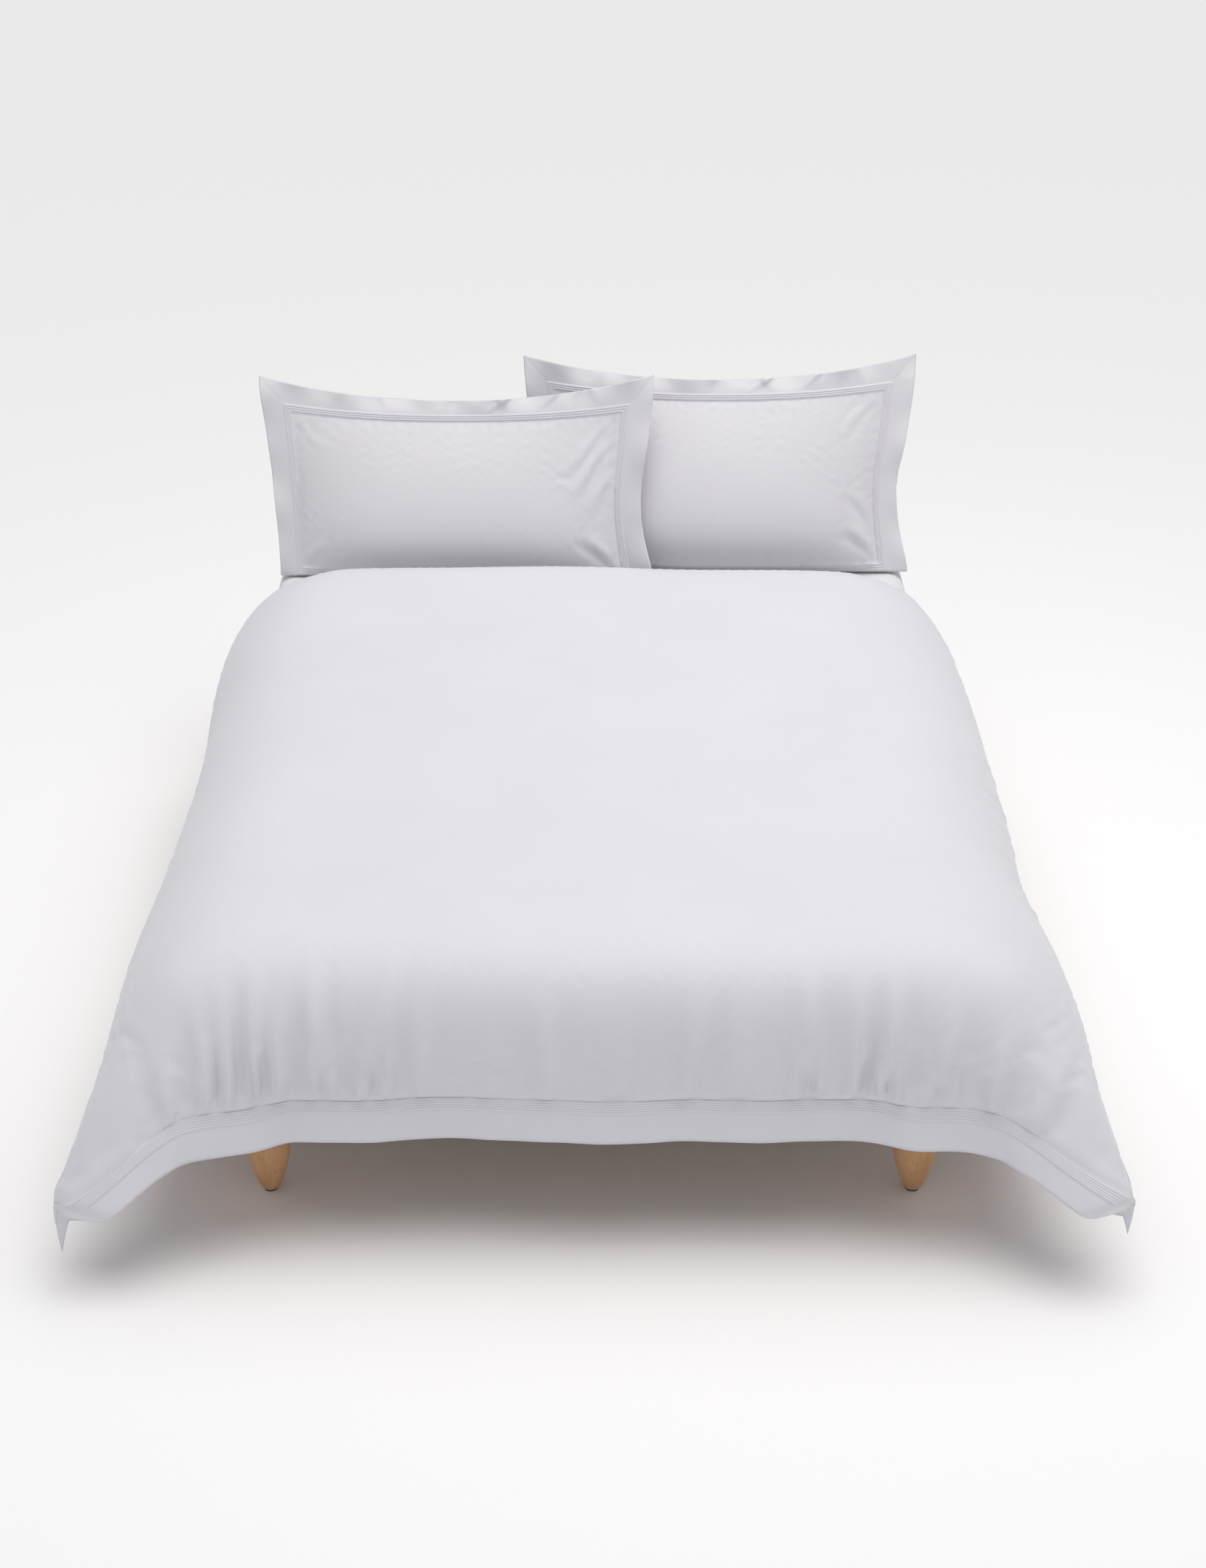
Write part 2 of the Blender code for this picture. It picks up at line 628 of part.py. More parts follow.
def pillow_layer(spec, across, up, height):
    """A grid of pillow points at height(p, q) out of the middle plane."""
    return [[pillow_point(spec, p, q, height(p, q)) for p in across] for q in up]


def make_pillow(hand, body):
    """The filled insert between the case's front and back panels, which meet in the flange."""
    spec = PILLOWS[hand]
    across, up = pillow_lines(spec)
    front_in = pillow_layer(spec, across, up, lambda p, q: belly(spec, p, q) + GAP / 2)
    front_out = pillow_layer(spec, across, up, lambda p, q: belly(spec, p, q) + GAP / 2 + CLOTH)
    add_piece(f"{hand}_pillowcase_front", closed_cloth(front_in, front_out), "pillow_cotton", body)
    back_in = pillow_layer(spec, across, up, lambda p, q: -belly(spec, p, q) - GAP / 2)
    back_out = pillow_layer(spec, across, up, lambda p, q: -belly(spec, p, q) - GAP / 2 - CLOTH)
    add_piece(f"{hand}_pillowcase_back", closed_cloth(back_out, back_in), "pillow_cotton", body)
    across, up = across[2:-2], up[5:-2]
    insert_back = pillow_layer(spec, across, up, lambda p, q: -belly(spec, p, q) + GAP / 2)
    insert_front = pillow_layer(spec, across, up, lambda p, q: belly(spec, p, q) - GAP / 2)
    add_piece(f"{hand}_pillow_insert", closed_cloth(insert_back, insert_front), "filling", body)


def main():
    for old in list(bpy.data.objects):
        bpy.data.objects.remove(old)
    frame = add_body("bed_frame", (0, 0, 0))
    make_rails(frame)
    make_cleats(frame)
    make_slats(frame)
    make_legs(frame)
    make_centre_leg(frame)
    mattress = add_body("mattress", (0, 0, MATTRESS_BOTTOM))
    make_mattress(mattress)
    make_fitted_sheet(mattress)
    duvet = add_body("duvet", (0, 0, EDGE_Z + DRAPE_RADIUS))
    make_duvet(duvet)
    make_buttons(duvet)
    for hand, spec in PILLOWS.items():
        pillow = add_body(f"{hand}_pillow", pillow_base(spec))
        make_pillow(hand, pillow)


main()
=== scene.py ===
# %% [markdown]
# # A dressed double bed
# This lesson builds the looks of a double bed: a slatted base on turned oak legs, a mattress in its
# fitted sheet, a duvet in a satin-weave cover with a flat border and rows of cording, and two pillows
# in flanged cases. The solid model of the bed is loaded first and is never moved. Every new piece
# is made round it, in metres, with +Z up and +Y towards the head of the bed.

# %% Load the bed
import collections
import json
import math

import bmesh
import bpy
import numpy as np
from mathutils import Matrix, Vector


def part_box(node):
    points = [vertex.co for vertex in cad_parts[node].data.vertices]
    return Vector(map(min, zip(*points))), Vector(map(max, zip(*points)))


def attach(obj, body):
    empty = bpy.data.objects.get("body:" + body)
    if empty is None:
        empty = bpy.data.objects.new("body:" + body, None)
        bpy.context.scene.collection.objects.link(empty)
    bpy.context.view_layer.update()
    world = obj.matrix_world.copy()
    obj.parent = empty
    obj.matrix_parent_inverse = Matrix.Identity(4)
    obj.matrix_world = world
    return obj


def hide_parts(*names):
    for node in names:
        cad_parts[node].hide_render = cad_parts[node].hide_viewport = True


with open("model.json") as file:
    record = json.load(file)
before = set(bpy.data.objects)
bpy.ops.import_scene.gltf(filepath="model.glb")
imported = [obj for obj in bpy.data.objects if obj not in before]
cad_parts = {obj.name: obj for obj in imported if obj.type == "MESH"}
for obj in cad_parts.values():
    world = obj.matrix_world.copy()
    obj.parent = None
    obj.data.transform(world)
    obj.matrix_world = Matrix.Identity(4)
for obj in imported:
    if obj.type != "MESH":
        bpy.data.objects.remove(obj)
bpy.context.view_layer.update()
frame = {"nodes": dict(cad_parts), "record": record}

# %% [markdown]
# ## Camera
# The bed is seen from its foot and from 2.6 m up, with a long lens that keeps its two ends close in
# size. Looking 27 degrees down shows both the top of the duvet and its drop at the foot.

# %% Camera
CAMERA_DOWN = 27  # degrees below level
link = bpy.context.scene.collection.objects.link
camera_data = bpy.data.cameras.new("camera")
camera_data.lens = 59.1
camera_data.shift_x = 0.0073
camera = bpy.data.objects.new("camera", camera_data)
camera.location = (0.0, -4.42, 2.60)
camera.rotation_euler = (math.radians(90 - CAMERA_DOWN), 0.0, 0.0)
link(camera)
bpy.context.scene.camera = camera
print("camera", tuple(round(x, 2) for x in camera.location), camera_data.lens, "mm")

# %% [markdown]
# ## Light and floor
# White cloth shows its folds only where one light is stronger than the rest. The room is an even
# white, so nothing turns black. A very broad sun lamp shines almost straight down, from a little to
# the right and a little towards the foot, and lights a large floor evenly. An area lamp over the
# middle of the bed lights the pillows and the top of the duvet more than its drops. Standard colours
# keep white cloth white.

# %% Light and floor
SUN_SPREAD = math.radians(50)
SUN_WAY = (-0.08, 0.06, -1.0)
PANEL_SIDE = 2.2
FLOOR_HALF = 60.0
lamp_data = bpy.data.lights.new("broad_lamp", "SUN")
lamp_data.energy = 1.4
lamp_data.color = (1.0, 0.98, 0.95)
lamp_data.angle = SUN_SPREAD
lamp = bpy.data.objects.new("broad_lamp", lamp_data)
lamp.rotation_euler = Vector(SUN_WAY).to_track_quat("-Z", "Y").to_euler()
link(lamp)
box_data = bpy.data.lights.new("overhead_box", "AREA")
box_data.shape = "RECTANGLE"
box_data.size = box_data.size_y = PANEL_SIDE
box_data.energy = 19
box = bpy.data.objects.new("overhead_box", box_data)
box.location = (0.5, -0.1, 2.8)
link(box)

world = bpy.data.worlds.new("white_room")
world.use_nodes = True
room = world.node_tree.nodes["Background"].inputs
room["Color"].default_value = (0.94, 0.945, 1.0, 1.0)
room["Strength"].default_value = 0.47
bpy.context.scene.world = world
bpy.context.scene.view_settings.view_transform = "Standard"

floor_mesh = bmesh.new()
bmesh.ops.create_grid(floor_mesh, x_segments=1, y_segments=1, size=FLOOR_HALF)
floor_data = bpy.data.meshes.new("floor")
floor_mesh.to_mesh(floor_data)
floor_mesh.free()
floor = bpy.data.objects.new("floor", floor_data)
link(floor)
floor_paint = bpy.data.materials.new("pale_floor")
floor_paint.use_nodes = True
paint = floor_paint.node_tree.nodes["Principled BSDF"].inputs
paint["Base Color"].default_value = (0.95, 0.945, 0.94, 1.0)
paint["Roughness"].default_value = 0.9
floor_data.materials.append(floor_paint)
print("two lamps, a white room and the floor")

# %% [markdown]
# ## Finishes
# A finish is a small tree of nodes. The helpers below keep each tree short: they add a node, set its
# inputs and link it. Cloth patterns follow each piece's own UV map, which is in metres along the
# threads. Wood reads Object coordinates, so its grain runs through the solid like real timber.

# %% Node helpers
def start_finish(name, colour, roughness, more):
    """A material, its node tree and its shader. more maps further inputs of the shader to values."""
    finish = bpy.data.materials.new(name)
    finish.use_nodes = True
    shader = finish.node_tree.nodes["Principled BSDF"]
    for key, value in {"Base Color": (*colour, 1.0), "Roughness": roughness, **more}.items():
        shader.inputs[key].default_value = value
    return finish, finish.node_tree, shader


def add_node(tree, kind, links=None, **settings):
    """A shader node. links maps an input to a value or to the (node, output) that feeds it."""
    node = tree.nodes.new("ShaderNode" + kind)
    for key, value in settings.items():
        setattr(node, key, value)
    for key, value in (links or {}).items():
        if isinstance(value, tuple) and isinstance(value[0], bpy.types.Node):
            tree.links.new(value[0].outputs[value[1]], node.inputs[key])
        else:
            node.inputs[key].default_value = value
    return node


def mix_colours(tree, share, low, high):
    """A colour between low and high, by a linked share."""
    ramp = add_node(tree, "ValToRGB", {"Fac": share})
    ramp.color_ramp.elements[0].color = (*low, 1.0)
    ramp.color_ramp.elements[0].position = 0.3
    ramp.color_ramp.elements[1].color = (*high, 1.0)
    ramp.color_ramp.elements[1].position = 0.7
    return ramp


def add_noise(tree, vector, scale, detail, roughness=0.5):
    """A noise texture, read at a linked vector."""
    links = {"Vector": vector, "Scale": scale, "Detail": detail, "Roughness": roughness}
    return add_node(tree, "TexNoise", links)


def add_bump(tree, height, distance, strength, under=None):
    """A bump this many metres high, by a linked height, on top of another bump if there is one."""
    links = {"Height": height, "Distance": distance, "Strength": strength}
    if under:
        links["Normal"] = (under, 0)
    return add_node(tree, "Bump", links)


print("node helpers ready")

# %% [markdown]
# ## Satin-weave cotton
# Cotton sateen floats its threads over several others, so it is smooth, faintly glossy across the
# grain, and soft at glancing angles. Two crossed bands make the weave, a fine noise gives the slubs
# of uneven yarn, and a broader noise gives the crumple that ironing leaves. All three are bumps of a
# fraction of a millimetre. A sheen on the shader lifts the edges.

# %% Satin-weave cotton
WAVE_PITCH = 0.314  # width of one band of a wave texture whose scale is 1


def cotton(name, low, high, roughness, sheen, thread, crumple):
    """Woven cloth of two near tones, with threads this wide and a crumple this deep, in metres."""
    more = {"Sheen Weight": sheen, "Sheen Roughness": 0.45, "Specular IOR Level": 0.28}
    finish, tree, shader = start_finish(name, high, roughness, more)
    where = (add_node(tree, "TexCoord"), "UV")
    band = WAVE_PITCH / thread
    wave = {"Vector": where, "Distortion": 0.4}
    warp = add_node(tree, "TexWave", {**wave, "Scale": band}, bands_direction="X")
    weft = add_node(tree, "TexWave", {**wave, "Scale": band * 0.7}, bands_direction="Y")
    slub = add_noise(tree, where, 420.0, 3.0)
    rumple = add_noise(tree, where, 24.0, 4.0)
    weave = add_node(tree, "Math", {0: (warp, "Fac"), 1: (weft, "Fac")}, operation="ADD")
    first = add_bump(tree, (weave, 0), 0.00006, 0.5)
    second = add_bump(tree, (slub, "Fac"), 0.00012, 0.5, first)
    third = add_bump(tree, (rumple, "Fac"), crumple, 0.6, second)
    tree.links.new(third.outputs[0], shader.inputs["Normal"])
    tone = add_noise(tree, where, 5.0, 5.0)
    ramp = mix_colours(tree, (tone, "Fac"), low, high)
    tree.links.new(ramp.outputs[0], shader.inputs["Base Color"])
    return finish


duvet_cotton = cotton("duvet_cotton", (0.70, 0.70, 0.735), (0.72, 0.72, 0.755), 0.50, 0.2, 0.0006, 0.0008)
pillow_cotton = cotton("pillow_cotton", (0.70, 0.69, 0.715), (0.725, 0.715, 0.74), 0.50, 0.2, 0.0006, 0.0006)
sheet_cotton = cotton("sheet_cotton", (0.70, 0.70, 0.71), (0.73, 0.73, 0.74), 0.75, 0.15, 0.0006, 0.0010)
cord_thread = cotton("cord_thread", (0.68, 0.68, 0.70), (0.74, 0.74, 0.76), 0.42, 0.2, 0.0009, 0.0002)
wadding = cotton("wadding_case", (0.78, 0.78, 0.77), (0.84, 0.84, 0.83), 0.85, 0.3, 0.0008, 0.0012)
ticking = cotton("knitted_ticking", (0.66, 0.65, 0.63), (0.74, 0.73, 0.71), 0.80, 0.2, 0.0018, 0.0010)
print("6 woven finishes")

# %% [markdown]
# ## Wood
# Oak and birch show long streaks along the grain, fine dark pores and slow changes of tone. Noise that
# is stretched along the grain makes all three. The legs are turned with the grain upright, and the
# rails and slats have it along their length, so each direction gets a finish of its own.

# %% Wood
def wood(name, low, high, grain, roughness):
    """Wood whose grain runs along the axis that grain gives a small share of the pattern's scale."""
    coat = {"Coat Weight": 0.12, "Coat Roughness": 0.35}
    finish, tree, shader = start_finish(name, high, roughness, coat)
    where = add_node(tree, "TexCoord")
    turned = add_node(tree, "Mapping", {"Vector": (where, "Object"), "Scale": grain})
    streak = add_noise(tree, (turned, 0), 42.0, 6.0, 0.62)
    pore = add_noise(tree, (turned, 0), 330.0, 2.0)
    tone = add_noise(tree, (where, "Object"), 7.0, 2.0)
    ramp = mix_colours(tree, (streak, "Fac"), low, high)
    pits = {"Value": (pore, "Fac"), "From Min": 0.34, "From Max": 0.44, "To Min": 0.86}
    holes = add_node(tree, "MapRange", pits)
    shade = add_node(tree, "MapRange", {"Value": (tone, "Fac"), "To Min": 0.86, "To Max": 1.10})
    both = add_node(tree, "Math", {0: (holes, 0), 1: (shade, 0)}, operation="MULTIPLY")
    darker = add_node(tree, "VectorMath", {0: (ramp, 0)}, operation="SCALE")
    tree.links.new(both.outputs[0], darker.inputs["Scale"])
    tree.links.new(darker.outputs[0], shader.inputs["Base Color"])
    bump = add_bump(tree, (pore, "Fac"), 0.0002, 0.4)
    tree.links.new(bump.outputs[0], shader.inputs["Normal"])
    matt = {"Value": (streak, "Fac"), "To Min": roughness - 0.06, "To Max": roughness + 0.10}
    rough = add_node(tree, "MapRange", matt)
    tree.links.new(rough.outputs[0], shader.inputs["Roughness"])
    return finish


OAK_DARK, OAK_LIGHT = (0.60, 0.32, 0.15), (0.74, 0.44, 0.225)
BIRCH_DARK, BIRCH_LIGHT = (0.55, 0.40, 0.25), (0.68, 0.53, 0.36)
oak = wood("oak_upright", OAK_DARK, OAK_LIGHT, (1.0, 1.0, 0.07), 0.42)
oak_across = wood("oak_across", OAK_DARK, OAK_LIGHT, (0.07, 1.0, 1.0), 0.42)
oak_along = wood("oak_along", OAK_DARK, OAK_LIGHT, (1.0, 0.07, 1.0), 0.42)
birch = wood("birch_across", BIRCH_DARK, BIRCH_LIGHT, (0.07, 1.0, 1.0), 0.50)
birch_along = wood("birch_along", BIRCH_DARK, BIRCH_LIGHT, (1.0, 0.07, 1.0), 0.50)
print("5 wood finishes")

# %% [markdown]
# ## Small parts
# The bolts are zinc plated steel, dull and slightly mottled. The glides are dense felt. The buttons are
# polished shell, pale with a faint warm cloud in it. The mattress's foam and spring unit are hidden.

# %% Small parts
def mottled(name, low, high, roughness, scale, depth, metallic=0.0, coat=0.0):
    """A finish of two near tones in a noise of this scale, which also raises it by depth."""
    more = {"Metallic": metallic, "Coat Weight": coat}
    finish, tree, shader = start_finish(name, high, roughness, more)
    where = add_node(tree, "TexCoord")
    cloud = add_noise(tree, (where, "Object"), scale, 5.0)
    ramp = mix_colours(tree, (cloud, "Fac"), low, high)
    tree.links.new(ramp.outputs[0], shader.inputs["Base Color"])
    bump = add_bump(tree, (cloud, "Fac"), depth, 0.5)
    tree.links.new(bump.outputs[0], shader.inputs["Normal"])
    return finish


zinc = mottled("zinc_plate", (0.50, 0.50, 0.52), (0.64, 0.64, 0.66), 0.36, 900.0, 0.00005, metallic=1.0)
felt = mottled("dense_felt", (0.07, 0.065, 0.06), (0.14, 0.13, 0.12), 0.95, 1400.0, 0.0003)
button_shell = mottled(
    "polished_shell", (0.70, 0.68, 0.63), (0.80, 0.79, 0.76), 0.22, 160.0, 0.00002, coat=0.5
)
foam = mottled("open_foam", (0.72, 0.68, 0.55), (0.80, 0.76, 0.64), 0.95, 1200.0, 0.0004)
spring_cover = mottled("spring_cover", (0.60, 0.60, 0.58), (0.68, 0.68, 0.66), 0.90, 600.0, 0.0004)
print("5 small finishes")

# %% [markdown]
# ## Cloth from a grid
# Each panel of cloth starts as a flat bmesh grid. Its points are then moved to where a formula puts
# them, and its UV map keeps the flat position of each point, so the weave runs straight along the
# cloth wherever it hangs. Rows of points run towards the head or the top, columns across.

# %% Grid cloth
def cloth_panel(name, points, across, along, finish):
    """A sheet of cloth from rows of points. across and along are the flat positions, for the UV map."""
    rows, columns = points.shape[:2]
    mesh = bmesh.new()
    bmesh.ops.create_grid(mesh, x_segments=columns - 1, y_segments=rows - 1, size=1.0)
    flat = points.reshape(-1, 3)
    mesh.verts.index_update()
    for vert in mesh.verts:
        vert.co = flat[vert.index]
    layer = mesh.loops.layers.uv.new("UVMap")
    for face in mesh.faces:
        face.smooth = True
        for loop in face.loops:
            row, column = divmod(loop.vert.index, columns)
            loop[layer].uv = (across[column], along[row])
    return finished(name, mesh, finish)


def finished(name, mesh, finish):
    """The object of a finished bmesh, at the origin, in its finish."""
    data = bpy.data.meshes.new(name)
    mesh.to_mesh(data)
    mesh.free()
    data.materials.append(finish)
    piece = bpy.data.objects.new(name, data)
    link(piece)
    return piece


def read_points(data, shape):
    flat = np.empty(len(data.vertices) * 3, np.float32)
    data.vertices.foreach_get("co", flat)
    return flat.reshape(shape).astype(float)


def thicken(piece, thickness, offset):
    """Gives the sheet its thickness: offset 1 keeps the side it has, -1 the other."""
    wall = piece.modifiers.new("thickness", "SOLIDIFY")
    wall.thickness = thickness
    wall.offset = offset


def smooth(x):
    """From 0 to 1 with a soft start and end, for x from 0 to 1."""
    x = np.clip(x, 0.0, 1.0)
    return x * x * (3 - 2 * x)


def facing(points):
    """Unit normals of a sheet, from its neighbouring rows and columns."""
    normal = np.cross(np.gradient(points, axis=1), np.gradient(points, axis=0))
    return normal / np.maximum(np.linalg.norm(normal, axis=-1, keepdims=True), 1e-12)


def neighbours(values):
    """The mean of the four values round each inner point of a sheet."""
    return (values[:-2, 1:-1] + values[2:, 1:-1] + values[1:-1, :-2] + values[1:-1, 2:]) / 4


def soften(points, rounds, weight):
    """Moves each inner point towards its neighbours, as stiff cloth evens out a sharp bend."""
    points = points.copy()
    for _ in range(rounds):
        points[1:-1, 1:-1] += weight[1:-1, 1:-1, None] * (neighbours(points) - points[1:-1, 1:-1])
    return points


def even_places(low, high, step):
    """Places from low to high, about a step apart."""
    return np.linspace(low, high, int(round((high - low) / step)) + 1)


def reread(values, old, new):
    """Rows of values that stand at old, read at new by a cubic curve through them."""
    place = (new - old[0]) / (old[1] - old[0])
    first = np.floor(place).astype(int)
    t = (place - first)[:, None, None]
    weights = (
        (-t + 2 * t**2 - t**3) / 2,
        (2 - 5 * t**2 + 3 * t**3) / 2,
        (t + 4 * t**2 - 3 * t**3) / 2,
        (t**3 - t**2) / 2,
    )
    last = len(old) - 1
    return sum(w * values[np.clip(first + k - 1, 0, last)] for k, w in enumerate(weights))


def finer(values, old_across, old_along, new_across, new_along):
    """An even sheet of points read on finer rows and columns."""
    rows = reread(values, old_along, new_along)
    return reread(rows.swapaxes(0, 1), old_across, new_across).swapaxes(0, 1)


def cord_rows(depth, pitch, count, height):
    """Height of rows of cording, side by side from depth 0: round ridges with narrow grooves."""
    inside = (depth > 0) & (depth < pitch * count)
    return np.where(inside, height * np.abs(np.sin(math.pi * depth / pitch)) ** 0.6, 0.0)


print("cloth helpers ready")

# %% [markdown]
# ## A short cloth simulation
# A formula is too regular to pass for cloth. Real fabric puckers where it is sewn, because there is a
# little more cloth than the seam has room for. A short simulation gives that: the cloth grows by about
# one per cent, a light pressure pushes it outwards like wadding, and its sewn edges stay where they are.
# Each point is held softly to its place by a weight, so smooth parts stay smooth. Only the movement
# is kept, and no point moves further than the cap.

# %% Cloth simulation
FRAMES = 18


def settle(name, points, hold, grow, pressure, bending, cap):
    """How far each point of a sheet moves when it settles, as an array like points."""
    flat = np.zeros(max(points.shape[:2]))
    trial = cloth_panel(name + "_trial", points, flat, flat, duvet_cotton)
    group = trial.vertex_groups.new(name="hold")
    for index, weight in enumerate(hold.ravel()):
        group.add([index], float(weight), "REPLACE")
    cloth = trial.modifiers.new("cloth", "CLOTH")
    settings = cloth.settings
    settings.quality = 6
    settings.mass = 0.25
    settings.tension_stiffness = settings.compression_stiffness = 18
    settings.shear_stiffness = 6
    settings.bending_stiffness = bending
    settings.tension_damping = settings.compression_damping = 12
    settings.shear_damping = 12
    settings.air_damping = 3
    settings.vertex_group_mass = "hold"
    settings.pin_stiffness = 0.6
    settings.shrink_min = settings.shrink_max = -grow
    settings.use_pressure = True
    settings.uniform_pressure_force = pressure
    settings.effector_weights.gravity = 0
    cloth.collision_settings.use_collision = False
    scene = bpy.context.scene
    for number in range(1, FRAMES + 1):
        scene.frame_set(number)
    settled = trial.evaluated_get(bpy.context.evaluated_depsgraph_get())
    moved = read_points(settled.data, points.shape) - points
    bpy.data.objects.remove(trial)
    scene.frame_set(1)
    far = np.linalg.norm(moved, axis=-1, keepdims=True)
    print(name, "moved by up to", round(float(far.max()) * 1000, 1), "mm")
    return moved * np.minimum(1.0, cap / np.maximum(far, 1e-9))


print("each cloth settles for", FRAMES, "frames")

# %% [markdown]
# ## How a duvet lies on a bed
# A duvet is flat as far as the mattress's edge, bends round it, and hangs. Its place can be written
# as one formula: walk u across the cloth and v towards the head, and the formula says where that
# point lies. Past the edge the cloth goes out and down at its flare, the angle that its own stiffness
# keeps it from the vertical. At a foot corner the two drops meet in a cone, and the last few
# centimetres of the corner hang from it in a narrow fold.

# %% Sizes of the drape
sheet_low, sheet_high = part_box("fitted_sheet")
_, cover_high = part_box("duvet_cover_top")
CLOTH = 0.001
GAP = 0.0003  # keeps two cloths that lie on each other apart
SKIN = CLOTH + GAP  # from the drape to the inner side of the top panel
EDGE_RADIUS = 0.038  # inside of the bend over the mattress's edge
EDGE_INSET = 0.0363  # from the fitted sheet's side to where the bend starts
REST_GAP = 0.0017
FLAT_X = sheet_high.x - EDGE_INSET
FLAT_Y = -sheet_low.y - EDGE_INSET
TOP_Z = sheet_high.z + REST_GAP
HEAD_Y = cover_high.y
SIDE_DROP, FOOT_DROP = 0.285, 0.300
BORDER, CORD_PITCH, CORD_COUNT = 0.052, 0.0042, 5
CORD_BAND = CORD_PITCH * CORD_COUNT
SIDE_FULL, FOOT_FULL = FLAT_X + SIDE_DROP, FLAT_Y + FOOT_DROP
FILLED_FOOT = FOOT_FULL - BORDER - CORD_BAND
LOFT = 0.056
STEP = 0.012  # between neighbouring points of the simulated cloth
SIDE_FLARE, FOOT_FLARE, CORNER_FLARE = 19, 9, 18  # degrees: the sides, the foot, and more at a corner
SIDE_WIDENS, WIDENS_RIGHT = 11.2, 1.8  # degrees more at the foot end, and by how much right beats left
CORNER_DIP, DIP_LEFT = 0.250, 0.040  # how much longer a corner hangs, and by how much left beats right
FINGER_START = 0.380  # how far down a corner its narrow fold starts
FINGER_WAY = math.radians(33)  # the way that fold faces, from sideways towards the foot
print("flat to", round(FLAT_X, 3), round(FLAT_Y, 3), "top", round(TOP_Z, 4))


# %% The drape formula
def bell(x, middle, width):
    return np.exp(-(((x - middle) / width) ** 2))


def hem_wave(u):
    """How far the foot hem swings out along its length, in metres."""
    wave = 0.005 * np.sin(9.0 * u + 0.6) + 0.004 * np.sin(17.0 * u + 2.0) + 0.002 * np.sin(31.0 * u)
    wave += 0.038 * smooth((-u - 0.49) / 0.07) + 0.014 * smooth((-u - 0.56) / 0.10)
    wave += 0.042 * bell(u, 0.535, 0.060) + 0.034 * smooth((u - 0.56) / 0.09)
    return wave


def sharp_drape(u, v):
    """The drape before its foot corners are evened out."""
    past_side = np.maximum(0.0, np.abs(u) - FLAT_X)
    past_foot = np.maximum(0.0, -v - FLAT_Y)
    length = np.hypot(past_side, past_foot)
    heading = np.arctan2(past_foot, past_side + 1e-12)
    share = heading / (math.pi / 2)
    corner = np.sin(2 * heading) ** 2
    to_foot = (FLAT_Y - np.maximum(-FLAT_Y, v)) / (2 * FLAT_Y)
    side_flare = np.radians(SIDE_FLARE + (SIDE_WIDENS + WIDENS_RIGHT * np.sign(u)) * to_foot**2)
    flare = side_flare * (1 - share) + np.radians(FOOT_FLARE) * share + np.radians(CORNER_FLARE) * corner
    along = length * (1 + (CORNER_DIP - DIP_LEFT * np.sign(u)) * corner**3)
    turn = math.pi / 2 - flare
    angle = np.minimum(along / EDGE_RADIUS, turn)
    hung = along - angle * EDGE_RADIUS
    finger = np.maximum(0.0, hung - FINGER_START) * smooth((corner - 0.5) / 0.4)
    hung = hung - finger
    out = EDGE_RADIUS * np.sin(angle) + hung * np.sin(flare) + finger * 0.03
    down = EDGE_RADIUS * (1 - np.cos(angle)) + hung * np.cos(flare) + finger
    narrow = 1 - 0.86 * smooth(finger / 0.032)
    heading = np.where(finger > 0, FINGER_WAY + (heading - FINGER_WAY) * narrow, heading)
    swing = smooth(past_foot / FOOT_DROP) * smooth(share * 1.6 - 0.6)
    x = np.clip(u, -FLAT_X, FLAT_X) + np.sign(u) * out * np.cos(heading)
    y = np.maximum(-FLAT_Y, v) - (out + swing * hem_wave(u)) * np.sin(heading) * (length > 0)
    return np.stack([x, y, TOP_Z - down], axis=-1)


def drape(u, v):
    """Points on the underside of the duvet, for arrays of u and v, evened out across the foot corners."""
    low = smooth((-v - FLAT_Y) / 0.15)
    reach = 0.075 * low * bell(np.abs(u), FLAT_X, 0.16)
    steps = (-1.0, -0.67, -0.33, 0.0, 0.33, 0.67, 1.0)
    shares = (0.06, 0.14, 0.19, 0.22, 0.19, 0.14, 0.06)
    return sum(share * sharp_drape(u + step * reach, v) for step, share in zip(steps, shares))


def outward(u, v):
    """Unit normals of the drape, from points a few millimetres to each side."""
    reach = 0.006
    aside = drape(u + reach, v) - drape(u - reach, v)
    normal = np.cross(aside, drape(u, v + reach) - drape(u, v - reach))
    return normal / np.linalg.norm(normal, axis=-1, keepdims=True)


def rounded(distance, reach):
    """The round edge of a filled cloth: 0 at its seam, 1 where it has its full loft."""
    return np.sqrt(np.maximum(0.0, 1 - (1 - np.clip(distance / reach, 0.0, 1.0)) ** 2))


GAIN_PLACES = (-0.90, -0.72, -0.45, -0.15, 0.15, 0.35, 0.62)  # along the duvet, foot to head
LEFT_GAINS = (0.10, 0.35, 0.05, -0.08, 0.08, 0.40, 0.45)  # how much fuller the left drop is at each
RIGHT_GAINS = (0.35, 0.36, -0.15, 0.32, 0.52, 0.32, 0.16)


def filling(u, v):
    """Height of the filling over the drape, with the slow waves of loose wadding."""
    full = rounded(SIDE_FULL - np.abs(u), 0.08) * rounded(HEAD_Y - v, 0.050)
    full = full * (1 - (1 - np.clip((v + FILLED_FOOT) / 0.34, 0.0, 1.0)) ** 2)
    gain = np.where(u < 0, np.interp(v, GAIN_PLACES, LEFT_GAINS), np.interp(v, GAIN_PLACES, RIGHT_GAINS))
    full = full * (1 + (gain - 0.35) * smooth((np.abs(u) - FLAT_X + 0.05) / 0.12))
    waves = 0.0035 * np.sin(5.1 * u + 3.3 * v) + 0.0030 * np.sin(8.3 * v - 4.2 * u + 1.0)
    plump = 0.024 * smooth((v - 0.05) / 0.5) * np.maximum(0.0, 1 - (u / 0.78) ** 4)
    return full * (LOFT + waves + plump + 0.0018 * np.sin(13.0 * u - 7.0 * v))


print("drape ready")

